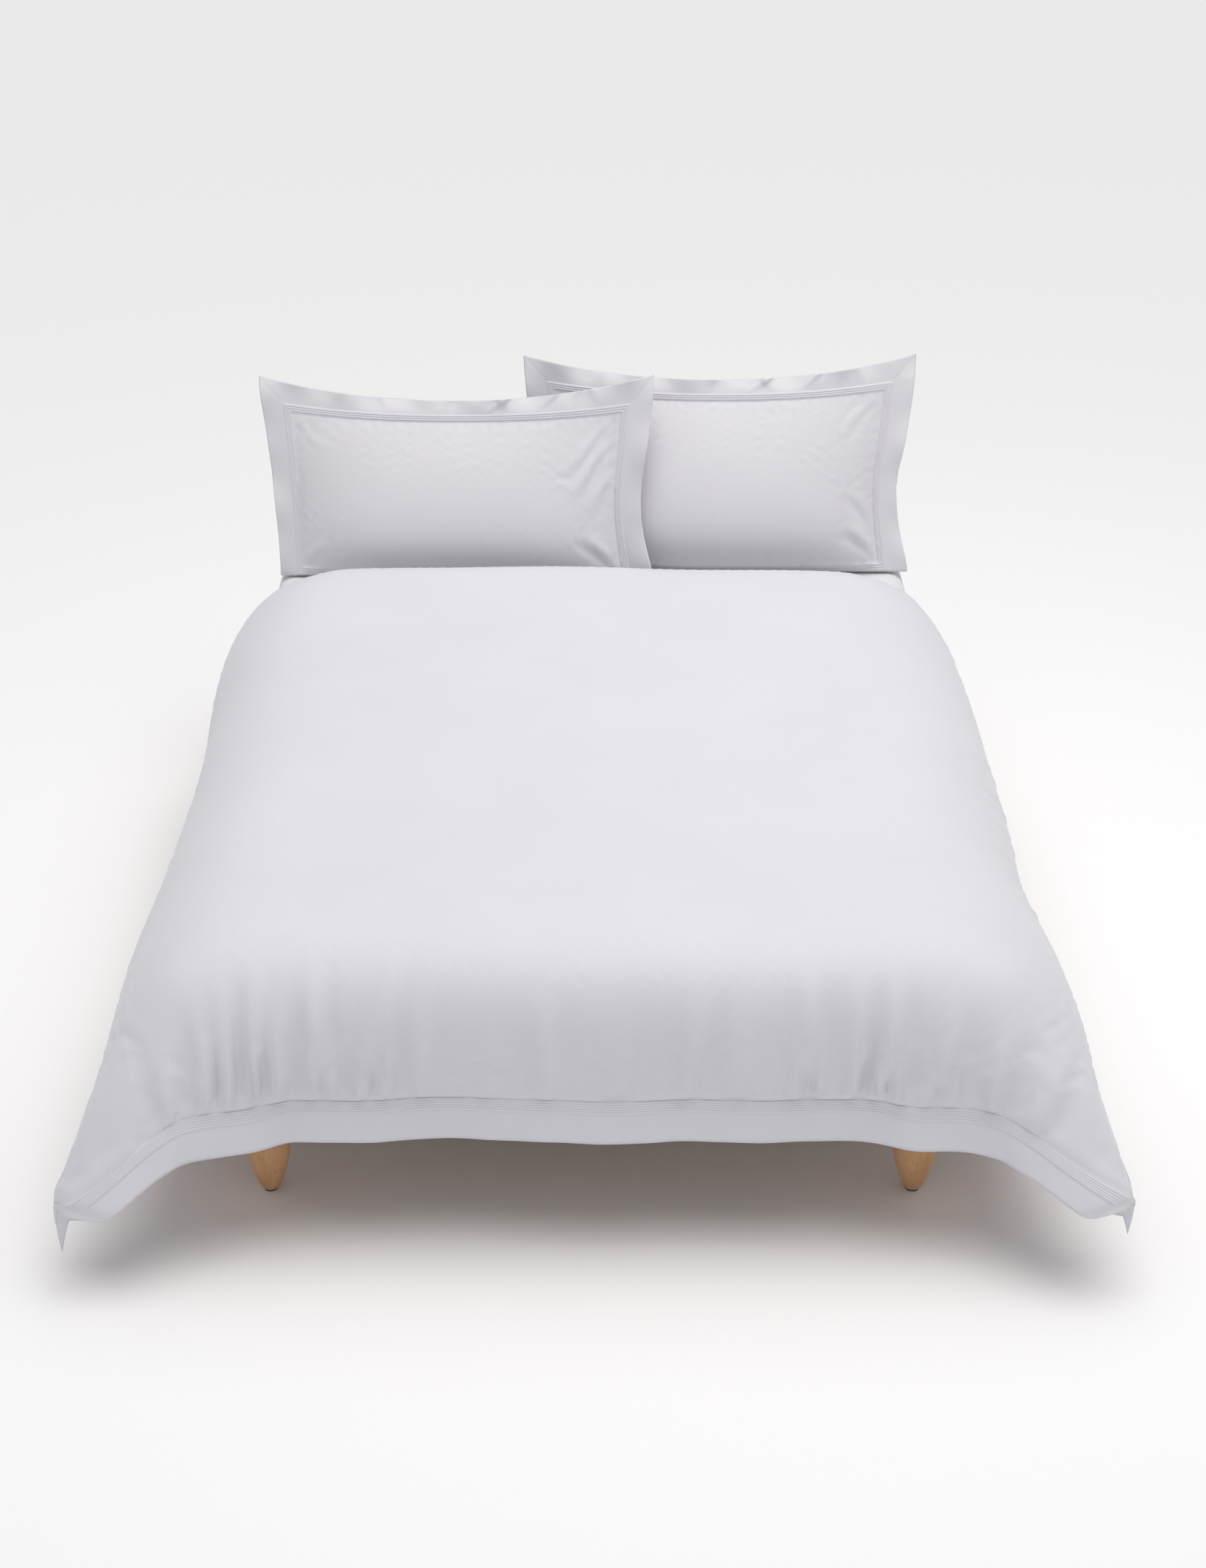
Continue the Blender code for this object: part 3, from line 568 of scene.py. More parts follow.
# %% [markdown]
# ## Duvet cover, top panel
# The cover is two panels sewn together round the edge. The top one runs from the head over the
# filling and the foot edge, through five rows of cording, to the hem of the flat border. Creases above
# the cord rows come partly from the simulation and partly from a short list of folds, each with its
# place along the hem, its slant, width and depth. Small slanting pleats lie along the right drop.
# Wherever softening or a crease would sink the panel into its filling, it is pushed off again.

# %% Folds of the top panel
FOLDS = (  # place across, slant, width, depth, how far it runs up
    (-0.700, 0.10, 0.014, 0.0087, 0.16), (-0.620, 0.02, 0.011, 0.0116, 0.20),
    (-0.578, -0.04, 0.009, 0.0145, 0.22), (-0.545, 0.06, 0.009, 0.0159, 0.24),
    (-0.500, -0.03, 0.011, 0.0116, 0.21), (-0.446, 0.03, 0.010, 0.0130, 0.25),
    (-0.410, -0.14, 0.010, 0.0101, 0.20), (-0.375, 0.22, 0.011, 0.0130, 0.22),
    (-0.335, 0.10, 0.010, 0.0116, 0.25), (-0.268, -0.05, 0.013, 0.0072, 0.20),
    (-0.170, 0.06, 0.018, 0.0043, 0.16), (-0.070, -0.04, 0.014, 0.0072, 0.20),
    (0.040, 0.03, 0.020, 0.0043, 0.17), (0.147, 0.12, 0.014, 0.0087, 0.23),
    (0.240, -0.08, 0.018, 0.0058, 0.18), (0.325, 0.05, 0.011, 0.0116, 0.22),
    (0.362, -0.08, 0.010, 0.0116, 0.24), (0.415, 0.05, 0.009, 0.0145, 0.22),
    (0.452, 0.14, 0.009, 0.0159, 0.20), (0.490, -0.05, 0.010, 0.0130, 0.24),
    (0.530, 0.24, 0.011, 0.0130, 0.14), (0.570, -0.02, 0.011, 0.0116, 0.19),
    (0.650, 0.06, 0.014, 0.0101, 0.18), (0.740, 0.10, 0.016, 0.0072, 0.15),
)
PLEATS = (-0.62, -0.54, -0.45, -0.33, -0.22, -0.08)  # places along the right drop


def creases(u, v):
    """Soft folds that start at the cord rows and die away up the drop, and the right drop's pleats."""
    height = v + FILLED_FOOT
    total = np.zeros_like(u)
    for place, slant, width, depth, reach in FOLDS:
        across = (u - place - slant * height) / (width * (1 + 3 * np.clip(height, 0, 1)))
        ridge = bell(across, 0, 1) - 0.55 * bell(across, 1.9, 1) - 0.35 * bell(across, -1.9, 1)
        total += depth * ridge * smooth(1.25 - 1.25 * height / reach) * smooth(height / 0.03)
    side = u - FLAT_X
    for place in PLEATS:
        across = (v - place - 0.9 * (side - 0.12)) / 0.011
        total += 0.003 * (bell(across, 0, 1) - bell(across, 1.8, 1)) * bell(side, 0.13, 0.07)
    return total


def keep_off(points, u, v, least, rounds):
    """Pushes points out to this height over the drape, spreading each push smoothly round it."""
    out = outward(u, v)
    need = np.maximum(0.0, least - np.einsum("ijk,ijk->ij", points - drape(u, v), out))
    push = need.copy()
    for _ in range(rounds):
        push[1:-1, 1:-1] = np.maximum(need[1:-1, 1:-1], neighbours(push))
    return points + out * push[..., None]


print(len(FOLDS), "folds along the hem,", len(PLEATS), "pleats on the right drop")

# %% Top panel
LEAST_LOFT = 0.020  # of the filling away from its seams
LEAST_CREASE = 0.003  # of the filling under a crease
across = even_places(-SIDE_FULL, SIDE_FULL, STEP)
along = even_places(-FILLED_FOOT, HEAD_Y, STEP)
U, V = np.meshgrid(across, along)
start = drape(U, V) + outward(U, V) * (SKIN + filling(U, V))[..., None]
to_seam = np.minimum(SIDE_FULL - np.abs(U), np.minimum(HEAD_Y - V, V + FILLED_FOOT))
ease = 0.6 * smooth(to_seam / 0.06)
head_middle = 0.90 * smooth((V - 0.32) / 0.2) * smooth((0.66 - np.abs(U)) / 0.14)
start = soften(start, 90, ease * (1 - head_middle))
start = keep_off(start, U, V, SKIN + LEAST_LOFT * smooth(to_seam / 0.10), 160)
start = soften(start, 10, ease)
start += facing(start) * creases(U, V)[..., None]
start = keep_off(start, U, V, SKIN + LEAST_CREASE * smooth(to_seam / 0.02), 4)
hanging = np.clip(smooth((-V - FLAT_Y - 0.06) / 0.1) + smooth((np.abs(U) - FLAT_X - 0.02) / 0.1), 0, 1)
hold = 0.85 - 0.50 * hanging
hold[to_seam < STEP / 2] = 1.0
start += settle("duvet_top", start, hold, 0.011, 0.8, 0.8, 0.007)

DENSE_TO = -0.80  # the rows are closer together from the cord rows up to here
border_top = -FOOT_FULL + BORDER
fine_across = np.linspace(-SIDE_FULL, SIDE_FULL, 233)
fine_along = np.concatenate(
    [np.linspace(-FILLED_FOOT, DENSE_TO, 48)[:-1], np.linspace(DENSE_TO, HEAD_Y, 116)]
)
filled_points = finer(start, across, along, fine_across, fine_along)
hem_along = np.concatenate(
    [np.linspace(-FOOT_FULL, border_top, 9)[:-1], np.linspace(border_top, -FILLED_FOOT, 31)[:-1]]
)
U, V = np.meshgrid(fine_across, hem_along)
ridges = cord_rows(V + FOOT_FULL - BORDER, CORD_PITCH, CORD_COUNT, 0.0014)
buckle = 0.0012 * np.sin(47 * U + 9 * V) * np.sin(23 * U - 31 * V + 1.0)
buckle = buckle * smooth((BORDER - V - FOOT_FULL) / 0.02)
hem_points = drape(U, V) + outward(U, V) * (SKIN + ridges + buckle)[..., None]
duvet_top = cloth_panel(
    "duvet_top_cloth",
    np.concatenate([hem_points, filled_points]),
    fine_across,
    np.concatenate([hem_along, fine_along]),
    duvet_cotton,
)
thicken(duvet_top, 0.001, 1)
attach(duvet_top, "duvet")
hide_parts("duvet_cover_top")
print("duvet top", len(duvet_top.data.polygons), "faces")

# %% [markdown]
# ## Filling and underside
# The filling is a quilted pad of loose fibre in its own thin case. It lies just over the underside
# panel and is closed round its edge. Its top takes part of the room under the top panel, by the
# least depth nearby, so it stays inside where a fold is deep. The underside panel follows the drape
# itself. It is hardly seen, so its grid is coarser.

# %% Filling
PAD_FLOOR = 0.0022  # from the drape to the pad's lower side
PAD_SHARE = 0.62  # how much of the room the pad takes


def pad_between(name, upper, lower, finish):
    """A closed pad from two sheets with equal rows and columns: two grids, their rims bridged."""
    rows, columns = upper.shape[:2]
    mesh = bmesh.new()
    bmesh.ops.create_grid(mesh, x_segments=columns - 1, y_segments=rows - 1, size=1.0)
    bmesh.ops.duplicate(mesh, geom=mesh.verts[:] + mesh.edges[:] + mesh.faces[:])
    mesh.verts.index_update()
    both = np.concatenate([upper.reshape(-1, 3), lower.reshape(-1, 3)])
    for vert in mesh.verts:
        vert.co = both[vert.index]
    rim = [edge for edge in mesh.edges if edge.is_boundary]
    bmesh.ops.bridge_loops(mesh, edges=rim)
    bmesh.ops.recalc_face_normals(mesh, faces=mesh.faces)
    for face in mesh.faces:
        face.smooth = True
    return finished(name, mesh, finish)


inner = (slice(2, -2, 2), slice(2, -2, 2))
U, V = np.meshgrid(across, along)
out = outward(U, V)
depth = np.einsum("ijk,ijk->ij", start - drape(U, V), out) - PAD_FLOOR
least = depth
for _ in range(2):
    around = [np.roll(least, (i, j), (0, 1)) for i in (-1, 0, 1) for j in (-1, 0, 1)]
    least = np.minimum.reduce(around)
least = least[inner]
pad_low = (drape(U, V) + out * PAD_FLOOR)[inner]
share = PAD_SHARE * np.clip(least / depth[inner], 0.02, 1.0)
pad_high = pad_low + (start[inner] - pad_low) * share[..., None]
wadding_pad = pad_between("duvet_wadding", pad_high, pad_low, wadding)
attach(wadding_pad, "duvet")
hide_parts("duvet_insert")
print("duvet wadding", len(wadding_pad.data.polygons), "faces")

# %% Underside of the cover
UNDERSIDE_OFF = 0.0009  # from the drape to the upper side of this panel
under_across = np.linspace(-SIDE_FULL, SIDE_FULL, 94)
under_along = np.linspace(-FOOT_FULL, HEAD_Y, 95)
U, V = np.meshgrid(under_across, under_along)
under_points = drape(U, V) + outward(U, V) * UNDERSIDE_OFF
duvet_under = cloth_panel("duvet_underside_cloth", under_points, under_across, under_along, duvet_cotton)
thicken(duvet_under, 0.0007, -1)
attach(duvet_under, "duvet")
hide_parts("duvet_cover_underside")
print("duvet underside", len(duvet_under.data.polygons), "faces")

# %% [markdown]
# ## Fitted sheet
# A fitted sheet is a flat panel with boxed corners and elastic in its hem. The same idea of a formula
# places it: flat on top, round over the edge, straight down the sides. At a corner the rows and the
# columns turn about one upright axis, as the sewn corner does. The elastic gathers its hem, most of
# all beside the corners, and a few long pulls run along the top.

# %% Fitted sheet
SHEET_RADIUS = 0.036
SHEET_SIDE = sheet_high.z - sheet_low.z - SHEET_RADIUS + SHEET_RADIUS * math.pi / 2


def boxed(u, v, half_x, half_y, radius):
    """Where a point of a boxed sheet lies, and which way is outwards there."""
    past_x = np.maximum(0.0, np.abs(u) - half_x)
    past_y = np.maximum(0.0, np.abs(v) - half_y)
    length = np.maximum(past_x, past_y)
    heading = np.arctan2(past_y, past_x + 1e-12)
    angle = np.minimum(length / radius, math.pi / 2)
    out = radius * np.sin(angle)
    down = radius * (1 - np.cos(angle)) + length - angle * radius
    way_x, way_y = np.sign(u) * np.cos(heading), np.sign(v) * np.sin(heading)
    x = np.clip(u, -half_x, half_x) + out * way_x * (past_x > 0)
    y = np.clip(v, -half_y, half_y) + out * way_y * (past_y > 0)
    way = np.stack([way_x * np.sin(angle), way_y * np.sin(angle), np.cos(angle)], axis=-1)
    return np.stack([x, y, -down], axis=-1), way, length


def with_sides(half, count, side, side_count):
    """Places across a boxed sheet: this many on top, and this many down each side."""
    rows = np.linspace(0.0, side, side_count)[1:]
    return np.concatenate([-half - rows[::-1], np.linspace(-half, half, count), half + rows])


half_x, half_y = sheet_high.x - SHEET_RADIUS, sheet_high.y - SHEET_RADIUS
sheet_across = with_sides(half_x, 90, SHEET_SIDE, 17)
sheet_along = with_sides(half_y, 126, SHEET_SIDE, 17)
U, V = np.meshgrid(sheet_across, sheet_along)
points, way, length = boxed(U, V, half_x, half_y, SHEET_RADIUS)
points[..., 2] += sheet_high.z
to_side, to_end = np.maximum(0, half_x - np.abs(U)), np.maximum(0, half_y - np.abs(V))
near_corner = bell(to_side, 0, 0.16) * bell(to_end, 0, 0.16)
round_edge = np.where(np.abs(U) > half_x, V, U)
at_hem = smooth((length - SHEET_SIDE + 0.07) / 0.07)
gather = 0.0020 * np.sin(130 * round_edge) * at_hem * (0.25 + near_corner)
gather = gather * ((np.abs(U) <= half_x) | (np.abs(V) <= half_y))
pulls = 0.0007 * np.sin(34 * U + 5 * np.sin(3 * V)) * smooth((np.abs(V) - 0.55) / 0.4) * (length <= 0)
points += way * (gather + pulls - 0.0004)[..., None]
fitted = cloth_panel("fitted_sheet_cloth", points, sheet_across, sheet_along, sheet_cotton)
thicken(fitted, 0.0008, -1)
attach(fitted, "mattress")
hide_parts("fitted_sheet")
print("fitted sheet", len(fitted.data.polygons), "faces")

# %% [markdown]
# ## Pillows
# Each pillow is a fibre pad in a case of two panels. A flat flange, mitred at its corners, frames the
# case, and three rows of cording run just inside it. The pillow stands on its long edge and leans back,
# so its lower flange is folded under it. The belly of the filling shortens the panel, which pulls the
# middles of its edges in and leaves the four corners standing out like ears. The ends where the two
# pillows meet curl past each other.

# %% Sizes of the pillows
PILLOW_HALF = 0.37  # of the panel inside the flange
FLANGE = 0.05
PILLOW_CORD_PITCH, PILLOW_CORD_COUNT = 0.005, 3
PILLOW_CORDS = PILLOW_CORD_PITCH * PILLOW_CORD_COUNT
BELLY = 0.077  # how far the filling stands out in front
BACK_BELLY = 0.056
FOLD_RADIUS = 0.006  # of the bend where the lower flange turns under
LEAN = math.radians(17)
CURL = 0.075  # how far forwards the meeting ends curl
PANEL_OFF = 0.002  # between the seams of the front and of the back
UNDER_OFF = 0.0034  # between the two flanges that are folded under
PILLOW_STEP, PILLOW_FINE = 0.0095, 0.0065  # between points of the simulated and of the shown cloth
RISE = np.array([0.0, math.sin(LEAN), math.cos(LEAN)])
OUT = np.array([0.0, -math.cos(LEAN), math.sin(LEAN)])
FOOT_HEIGHT = sheet_high.z + CLOTH + 1.5 * GAP + FOLD_RADIUS * (1 + math.sin(LEAN))
HEAD_END = sheet_high.y - 0.001

# back is the distance from the head end, height that of the panel, end the end that curls (1 is
# the right one), and dip how far the middle of the top edge is drawn down
Pillow = collections.namedtuple("Pillow", "name x back height end dip")
PILLOWS = (
    Pillow("left", -0.288, 0.234, 0.370, 1, 0.036),
    Pillow("right", 0.273, 0.213, 0.410, -1, 0.038),
)
# how far the left and the right edge are drawn in, from the bottom of the pillow to its top
WAIST_LEVELS = (0.0, 0.15, 0.28, 0.41, 0.54, 0.70, 0.85, 1.0)
WAISTS = {
    "left": (
        (0.040, 0.038, 0.034, 0.029, 0.024, 0.016, 0.007, 0.0),
        (-0.006, 0.012, 0.026, 0.029, 0.024, 0.012, 0.004, 0.0),
    ),
    "right": (
        (0.010, 0.020, 0.025, 0.025, 0.020, 0.012, 0.005, 0.0),
        (0.010, 0.028, 0.037, 0.041, 0.027, 0.014, 0.005, 0.0),
    ),
}
WAIST_BLUR = (-0.06, -0.02, 0.02, 0.06)  # each waist is the mean of its curve at these shifts
# fold lines on a belly: where each starts and ends (p, q), width, depth
PILLOW_FOLDS = {
    "left": (
        ((0.350, 0.350), (0.215, 0.225), 0.010, 0.008),
        ((0.345, 0.300), (0.235, 0.170), 0.010, 0.006),
        ((0.350, 0.235), (0.290, 0.130), 0.010, 0.005),
        ((0.350, 0.020), (0.270, 0.105), 0.011, 0.007),
        ((-0.350, 0.345), (-0.270, 0.270), 0.010, 0.004),
        ((-0.350, 0.030), (-0.290, 0.090), 0.011, 0.004),
    ),
    "right": (
        ((0.350, 0.385), (0.250, 0.300), 0.010, 0.005),
        ((0.350, 0.030), (0.270, 0.110), 0.011, 0.007),
        ((0.350, 0.090), (0.290, 0.190), 0.011, 0.004),
    ),
}
# small tucks in the top flanges: place along it, slant, depth
FLANGE_TUCKS = (
    (-0.27, 0.5, 0.004), (-0.14, -0.4, 0.005), (-0.03, 0.3, 0.005), (0.06, 0.9, 0.009),
    (0.12, -0.5, 0.007), (0.17, 0.8, 0.008), (0.25, 0.3, 0.005), (0.31, -0.4, 0.004),
)
print("panels", [(pillow.name, round(2 * PILLOW_HALF, 2), pillow.height) for pillow in PILLOWS], "m")


# %% The pillow formula
def pillow_place(spec, p, q, w):
    """A point of a pillow: p along it, q up it from its fold, w forwards of its panel."""
    share = np.maximum(0.0, spec.end * p / (PILLOW_HALF + FLANGE))
    bend = spec.end * CURL * share**2
    level = np.clip(q / (spec.height + FLANGE), 0.0, 1.0)
    edge = np.clip(np.abs(p) / (PILLOW_HALF + FLANGE), 0.0, 1.0)
    drawn_down = 1.12 * spec.dip * (1 - edge**2.2) * level**1.6 - spec.end * 0.026 * share**2 * level
    drawn_down = drawn_down + 0.012 * (1 - edge**2) * np.clip((q - spec.height) / FLANGE, 0.0, 1.0)
    sides = [
        sum(np.interp(level + shift, WAIST_LEVELS, side) for shift in WAIST_BLUR) / 4
        for side in WAISTS[spec.name]
    ]
    waist = edge**3 * np.where(p < 0, -sides[0], sides[1])
    angle = np.minimum(np.maximum(-q, 0.0) / FOLD_RADIUS, math.pi / 2 + LEAN)
    behind = np.maximum(-q, 0.0) - angle * FOLD_RADIUS
    up = np.maximum(q, 0.0) - drawn_down
    place = np.array([spec.x, HEAD_END - spec.back, FOOT_HEIGHT]) + up[..., None] * RISE
    place = place + (w + 0.0 * q)[..., None] * np.where((q >= 0)[..., None], OUT, 0.0)
    under = FOLD_RADIUS * (np.cos(angle) - 1)[..., None] * OUT
    under = under - FOLD_RADIUS * np.sin(angle)[..., None] * RISE
    place = place + np.where((q < 0)[..., None], under, 0.0)
    place[..., 1] += behind
    place[..., 2] += np.where(q < 0, w, 0.0)
    place[..., 0] += p - waist
    place[..., 1] -= bend
    return place


def belly(spec, p, q, full):
    """Height of the filling, which has sunk: steep at its foot, gentler at its sides and top."""
    foot = 0.004
    aside = np.clip(np.abs(p) / (PILLOW_HALF - PILLOW_CORDS), 0.0, 1.0)
    level = np.clip((q - foot) / (spec.height - foot - PILLOW_CORDS), 0.0, 1.0)
    return full * (1 - aside**3.2) ** 0.95 * (1 - (1 - level) ** 9) ** 0.6 * (1 - level**2.3) ** 1.05


def line_fold(p, q, begin, finish, width, depth):
    """One soft fold along a line that is deepest at its start."""
    run = np.array(finish) - np.array(begin)
    length = float(np.hypot(*run))
    forward = ((p - begin[0]) * run[0] + (q - begin[1]) * run[1]) / length
    beside = ((q - begin[1]) * run[0] - (p - begin[0]) * run[1]) / length
    beside = beside + 0.008 * np.sin(forward * 30)
    t = np.clip(forward / length, 0.0, 1.0)
    across = beside / (width * (0.7 + 0.9 * t))
    ridge = bell(across, 0, 1) - 0.8 * bell(across, 1.7, 0.9)
    return depth * ridge * smooth((1 - t) * 1.6) * smooth(forward / 0.02 + 1)


def flange_lift(spec, p, q):
    """How the free flange ripples: it leans back at the top and kinks a little at the sides."""
    above = q - spec.height
    over = np.clip(above / FLANGE, 0.0, 1.0)
    aside = np.clip((np.abs(p) - PILLOW_HALF) / FLANGE, 0.0, 1.0)
    phase = 1.0 if spec.name == "left" else 2.6
    ripple = 0.008 * np.sin(19 * p + phase) + 0.0045 * np.sin(43 * p - 20 * q + 0.5)
    ripple += 0.0025 * np.sin(71 * p + 30 * q)
    tucks = sum(depth * bell(p - place - slant * above, 0, 0.007) for place, slant, depth in FLANGE_TUCKS)
    kink = 0.005 * np.sin(24 * q + 1.3 * np.sign(p)) + 0.003 * np.sin(53 * q)
    splay = 0.018 * aside * smooth((0.16 - q) / 0.12) * smooth((q + 0.005) / 0.05) * (p * spec.end > 0)
    middle = 1 - np.clip(np.abs(p) / (PILLOW_HALF + FLANGE), 0.0, 1.0) ** 2
    return over**1.3 * (ripple + tucks - 0.004 - 0.006 * middle) + aside * (kink - 0.004) * (q > 0) + splay


def mitre(spec, p, q):
    """The groove of the diagonal seam in each corner of the flange."""
    off = (np.abs(p) - PILLOW_HALF) - (np.abs(q - spec.height / 2) - spec.height / 2)
    return -0.0011 * bell(off, 0, 0.0022) * (np.abs(p) > PILLOW_HALF)


def banded(half, step):
    """Places across a panel: even on its flanges and belly, close together over the cord rows."""
    inner = half - PILLOW_CORDS
    belly_places = even_places(-inner, inner, step)
    cords = np.linspace(inner, half, 19)[1:-1]
    flange = np.linspace(half, half + FLANGE, 15)
    return np.concatenate([-flange[::-1], -cords[::-1], belly_places, cords, flange])


print("pillow formula ready")


# %% Pillow panels
def panel_lift(spec, p, q):
    """The depth of the filling, and how far its folded front panel stands out over the seams."""
    depth = belly(spec, p, q, BELLY)
    folds = sum(line_fold(p, q, *fold) for fold in PILLOW_FOLDS[spec.name])
    return depth, PANEL_OFF + depth + folds * smooth(depth / 0.03)


def make_pillow(spec):
    name, height = spec.name, spec.height
    body = name + "_pillow"
    across = even_places(-PILLOW_HALF - FLANGE, PILLOW_HALF + FLANGE, PILLOW_STEP)
    along = even_places(-FLANGE, height + FLANGE, PILLOW_STEP)
    P, Q = np.meshgrid(across, along)
    depth, lift = panel_lift(spec, P, Q)
    start = pillow_place(spec, P, Q, lift + flange_lift(spec, P, Q))
    hold = np.where(depth > 0.001, 0.45 + 0.4 * smooth(2.5 * depth / BELLY - 1.2), 1.0)
    moved = settle(body, start, hold, 0.008, 1.2, 1.2, 0.005)

    fine_p = banded(PILLOW_HALF, PILLOW_FINE)
    fine_q = banded(height / 2, PILLOW_FINE) + height / 2
    P, Q = np.meshgrid(fine_p, fine_q)
    inside = np.minimum(PILLOW_HALF - np.abs(P), height / 2 - np.abs(Q - height / 2))
    cords = cord_rows(inside, PILLOW_CORD_PITCH, PILLOW_CORD_COUNT, 0.0015)
    to_cords = inside - PILLOW_CORDS
    puckers = 0.0009 * np.sin(P * 430 + 9 * np.sin(31 * P)) * bell(to_cords, 0.014, 0.012) * (to_cords > 0)
    lift = panel_lift(spec, P, Q)[1] + puckers + cords + mitre(spec, P, Q) + flange_lift(spec, P, Q)
    points = pillow_place(spec, P, Q, lift) + finer(moved, across, along, fine_p, fine_q)
    front = cloth_panel(body + "_front_cloth", points, fine_p, fine_q, pillow_cotton)
    thicken(front, 0.0009, 1)

    rear_q = (banded(height / 2, 0.02) + height / 2)[::2]
    P, Q = np.meshgrid(fine_p, rear_q)
    rear = -belly(spec, P, Q, BACK_BELLY) + flange_lift(spec, P, Q) * (Q > 0)
    rear_points = pillow_place(spec, P, Q, rear + np.where(Q < 0, UNDER_OFF, 0.0))
    back_panel = cloth_panel(body + "_back_cloth", rear_points, fine_p, rear_q, pillow_cotton)
    thicken(back_panel, 0.0008, 1)

    inset = 0.022
    pad_p = np.linspace(-PILLOW_HALF + inset, PILLOW_HALF - inset, 60)
    pad_q = np.linspace(inset, height - inset, 40)
    P, Q = np.meshgrid(pad_p, pad_q)
    surface = finer(moved, across, along, pad_p, pad_q)
    upper = pillow_place(spec, P, Q, 0.5 * belly(spec, P, Q, BELLY) + 0.0015) + 0.5 * surface
    lower = pillow_place(spec, P, Q, -belly(spec, P, Q, BACK_BELLY) * 0.5 + 0.0012)
    pad = pad_between(body + "_wadding", upper, lower, wadding)

    for piece in (front, back_panel, pad):
        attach(piece, body)
    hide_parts(name + "_pillowcase_front")
    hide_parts(name + "_pillowcase_back")
    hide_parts(name + "_pillow_insert")
    print(body, len(front.data.polygons), "faces in front")


for spec in PILLOWS:
    make_pillow(spec)

# %% [markdown]
# ## Buttons
# The foot end of the cover is its opening. Five small buttons close it behind the flat border. A
# button is a disc of shell with a raised rim, and a crossed thread sews it on. The disc starts as a
# short cylinder, whose outer face is inset and sunk, and its edges are bevelled.

# %% Buttons
BUTTON_RADIUS, BUTTON_DEPTH, BUTTON_PITCH = 0.007, 0.0022, 0.20
BUTTON_ROW = -(FOOT_FULL - 0.030)
RIM_WIDTH, RIM_HEIGHT = 0.0016, 0.0006
THREAD_RADIUS, THREAD_LENGTH = 0.0004, 0.0046


def place_on_drape(mesh, u, v, off):
    """Turns a mesh that faces -Z so that it sits on the duvet's underside at u, v."""
    here = np.array([[u]]), np.array([[v]])
    normal = Vector(outward(*here)[0, 0])
    point = Vector(drape(*here)[0, 0]) - normal * off
    turn = Vector((0, 0, 1)).rotation_difference(normal).to_matrix().to_4x4()
    bmesh.ops.transform(mesh, matrix=Matrix.Translation(point) @ turn, verts=mesh.verts)


def make_button(number):
    u = (number - 3) * BUTTON_PITCH
    disc = bmesh.new()
    size = {"radius1": BUTTON_RADIUS, "radius2": BUTTON_RADIUS, "depth": BUTTON_DEPTH}
    bmesh.ops.create_cone(disc, cap_ends=True, segments=40, **size)
    face = [f for f in disc.faces if f.normal.z < -0.9]
    bmesh.ops.inset_region(disc, faces=face, thickness=RIM_WIDTH, depth=0.0)
    face = [f for f in disc.faces if f.normal.z < -0.9 and len(f.verts) > 4]
    bmesh.ops.inset_region(disc, faces=face, thickness=RIM_HEIGHT, depth=-RIM_HEIGHT)
    sharp = [e for e in disc.edges if len(e.link_faces) == 2 and e.calc_face_angle() > 0.5]
    bmesh.ops.bevel(disc, geom=sharp, offset=0.0003, segments=2, profile=0.5, affect="EDGES", material=-1)
    place_on_drape(disc, u, BUTTON_ROW, GAP + BUTTON_DEPTH / 2)
    for part in disc.faces:
        part.smooth = True
    button = finished(f"shell_button_{number}", disc, button_shell)
    cross = bmesh.new()
    for angle in (45, -45):
        size = {"radius1": THREAD_RADIUS, "radius2": THREAD_RADIUS, "depth": THREAD_LENGTH}
        stitch = bmesh.ops.create_cone(cross, cap_ends=True, segments=10, **size)
        for turn in (Matrix.Rotation(math.pi / 2, 3, "X"), Matrix.Rotation(math.radians(angle), 3, "Z")):
            bmesh.ops.rotate(cross, verts=stitch["verts"], cent=(0, 0, 0), matrix=turn)
    bmesh.ops.translate(cross, verts=cross.verts, vec=(0, 0, -BUTTON_DEPTH / 2 + THREAD_RADIUS))
    place_on_drape(cross, u, BUTTON_ROW, GAP + BUTTON_DEPTH / 2)
    stitches = finished(f"button_thread_{number}", cross, cord_thread)
    for piece in (button, stitches):
        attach(piece, "duvet")
    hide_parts(f"cover_button_{number}")


for number in range(1, 6):
    make_button(number)
print("5 buttons sewn behind the border")

# %% [markdown]
# ## Mattress case
# Under the sheet the mattress has a knitted case: a quilted border, a quilted top and a plain base,
# joined by two rolled tapes. One grid makes the top and the border, and a second one the base. The
# quilting is a pattern of shallow diamonds in the formula that sets how far each point stands out.

# %% Mattress case
case_low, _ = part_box("mattress_base_panel")
_, case_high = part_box("mattress_top_panel")
CASE_RADIUS = 0.035
CASE_SIDE = case_high.z - case_low.z - CASE_RADIUS + CASE_RADIUS * math.pi / 2
QUILT = 0.1  # between stitched lines, along the edge of the mattress
TAPE_PLACES = (CASE_RADIUS * math.pi / 2 + 0.012, CASE_SIDE - 0.008)
case_x, case_y = case_high.x - CASE_RADIUS, case_high.y - CASE_RADIUS


def quilted(u, v):
    """Height of the quilting: pillowy diamonds 70 mm across, sunk along their stitched lines."""
    rising, falling = np.sin(math.pi * (u + v) / QUILT), np.sin(math.pi * (u - v) / QUILT)
    return 0.0018 * (np.abs(rising) * np.abs(falling)) ** 0.4


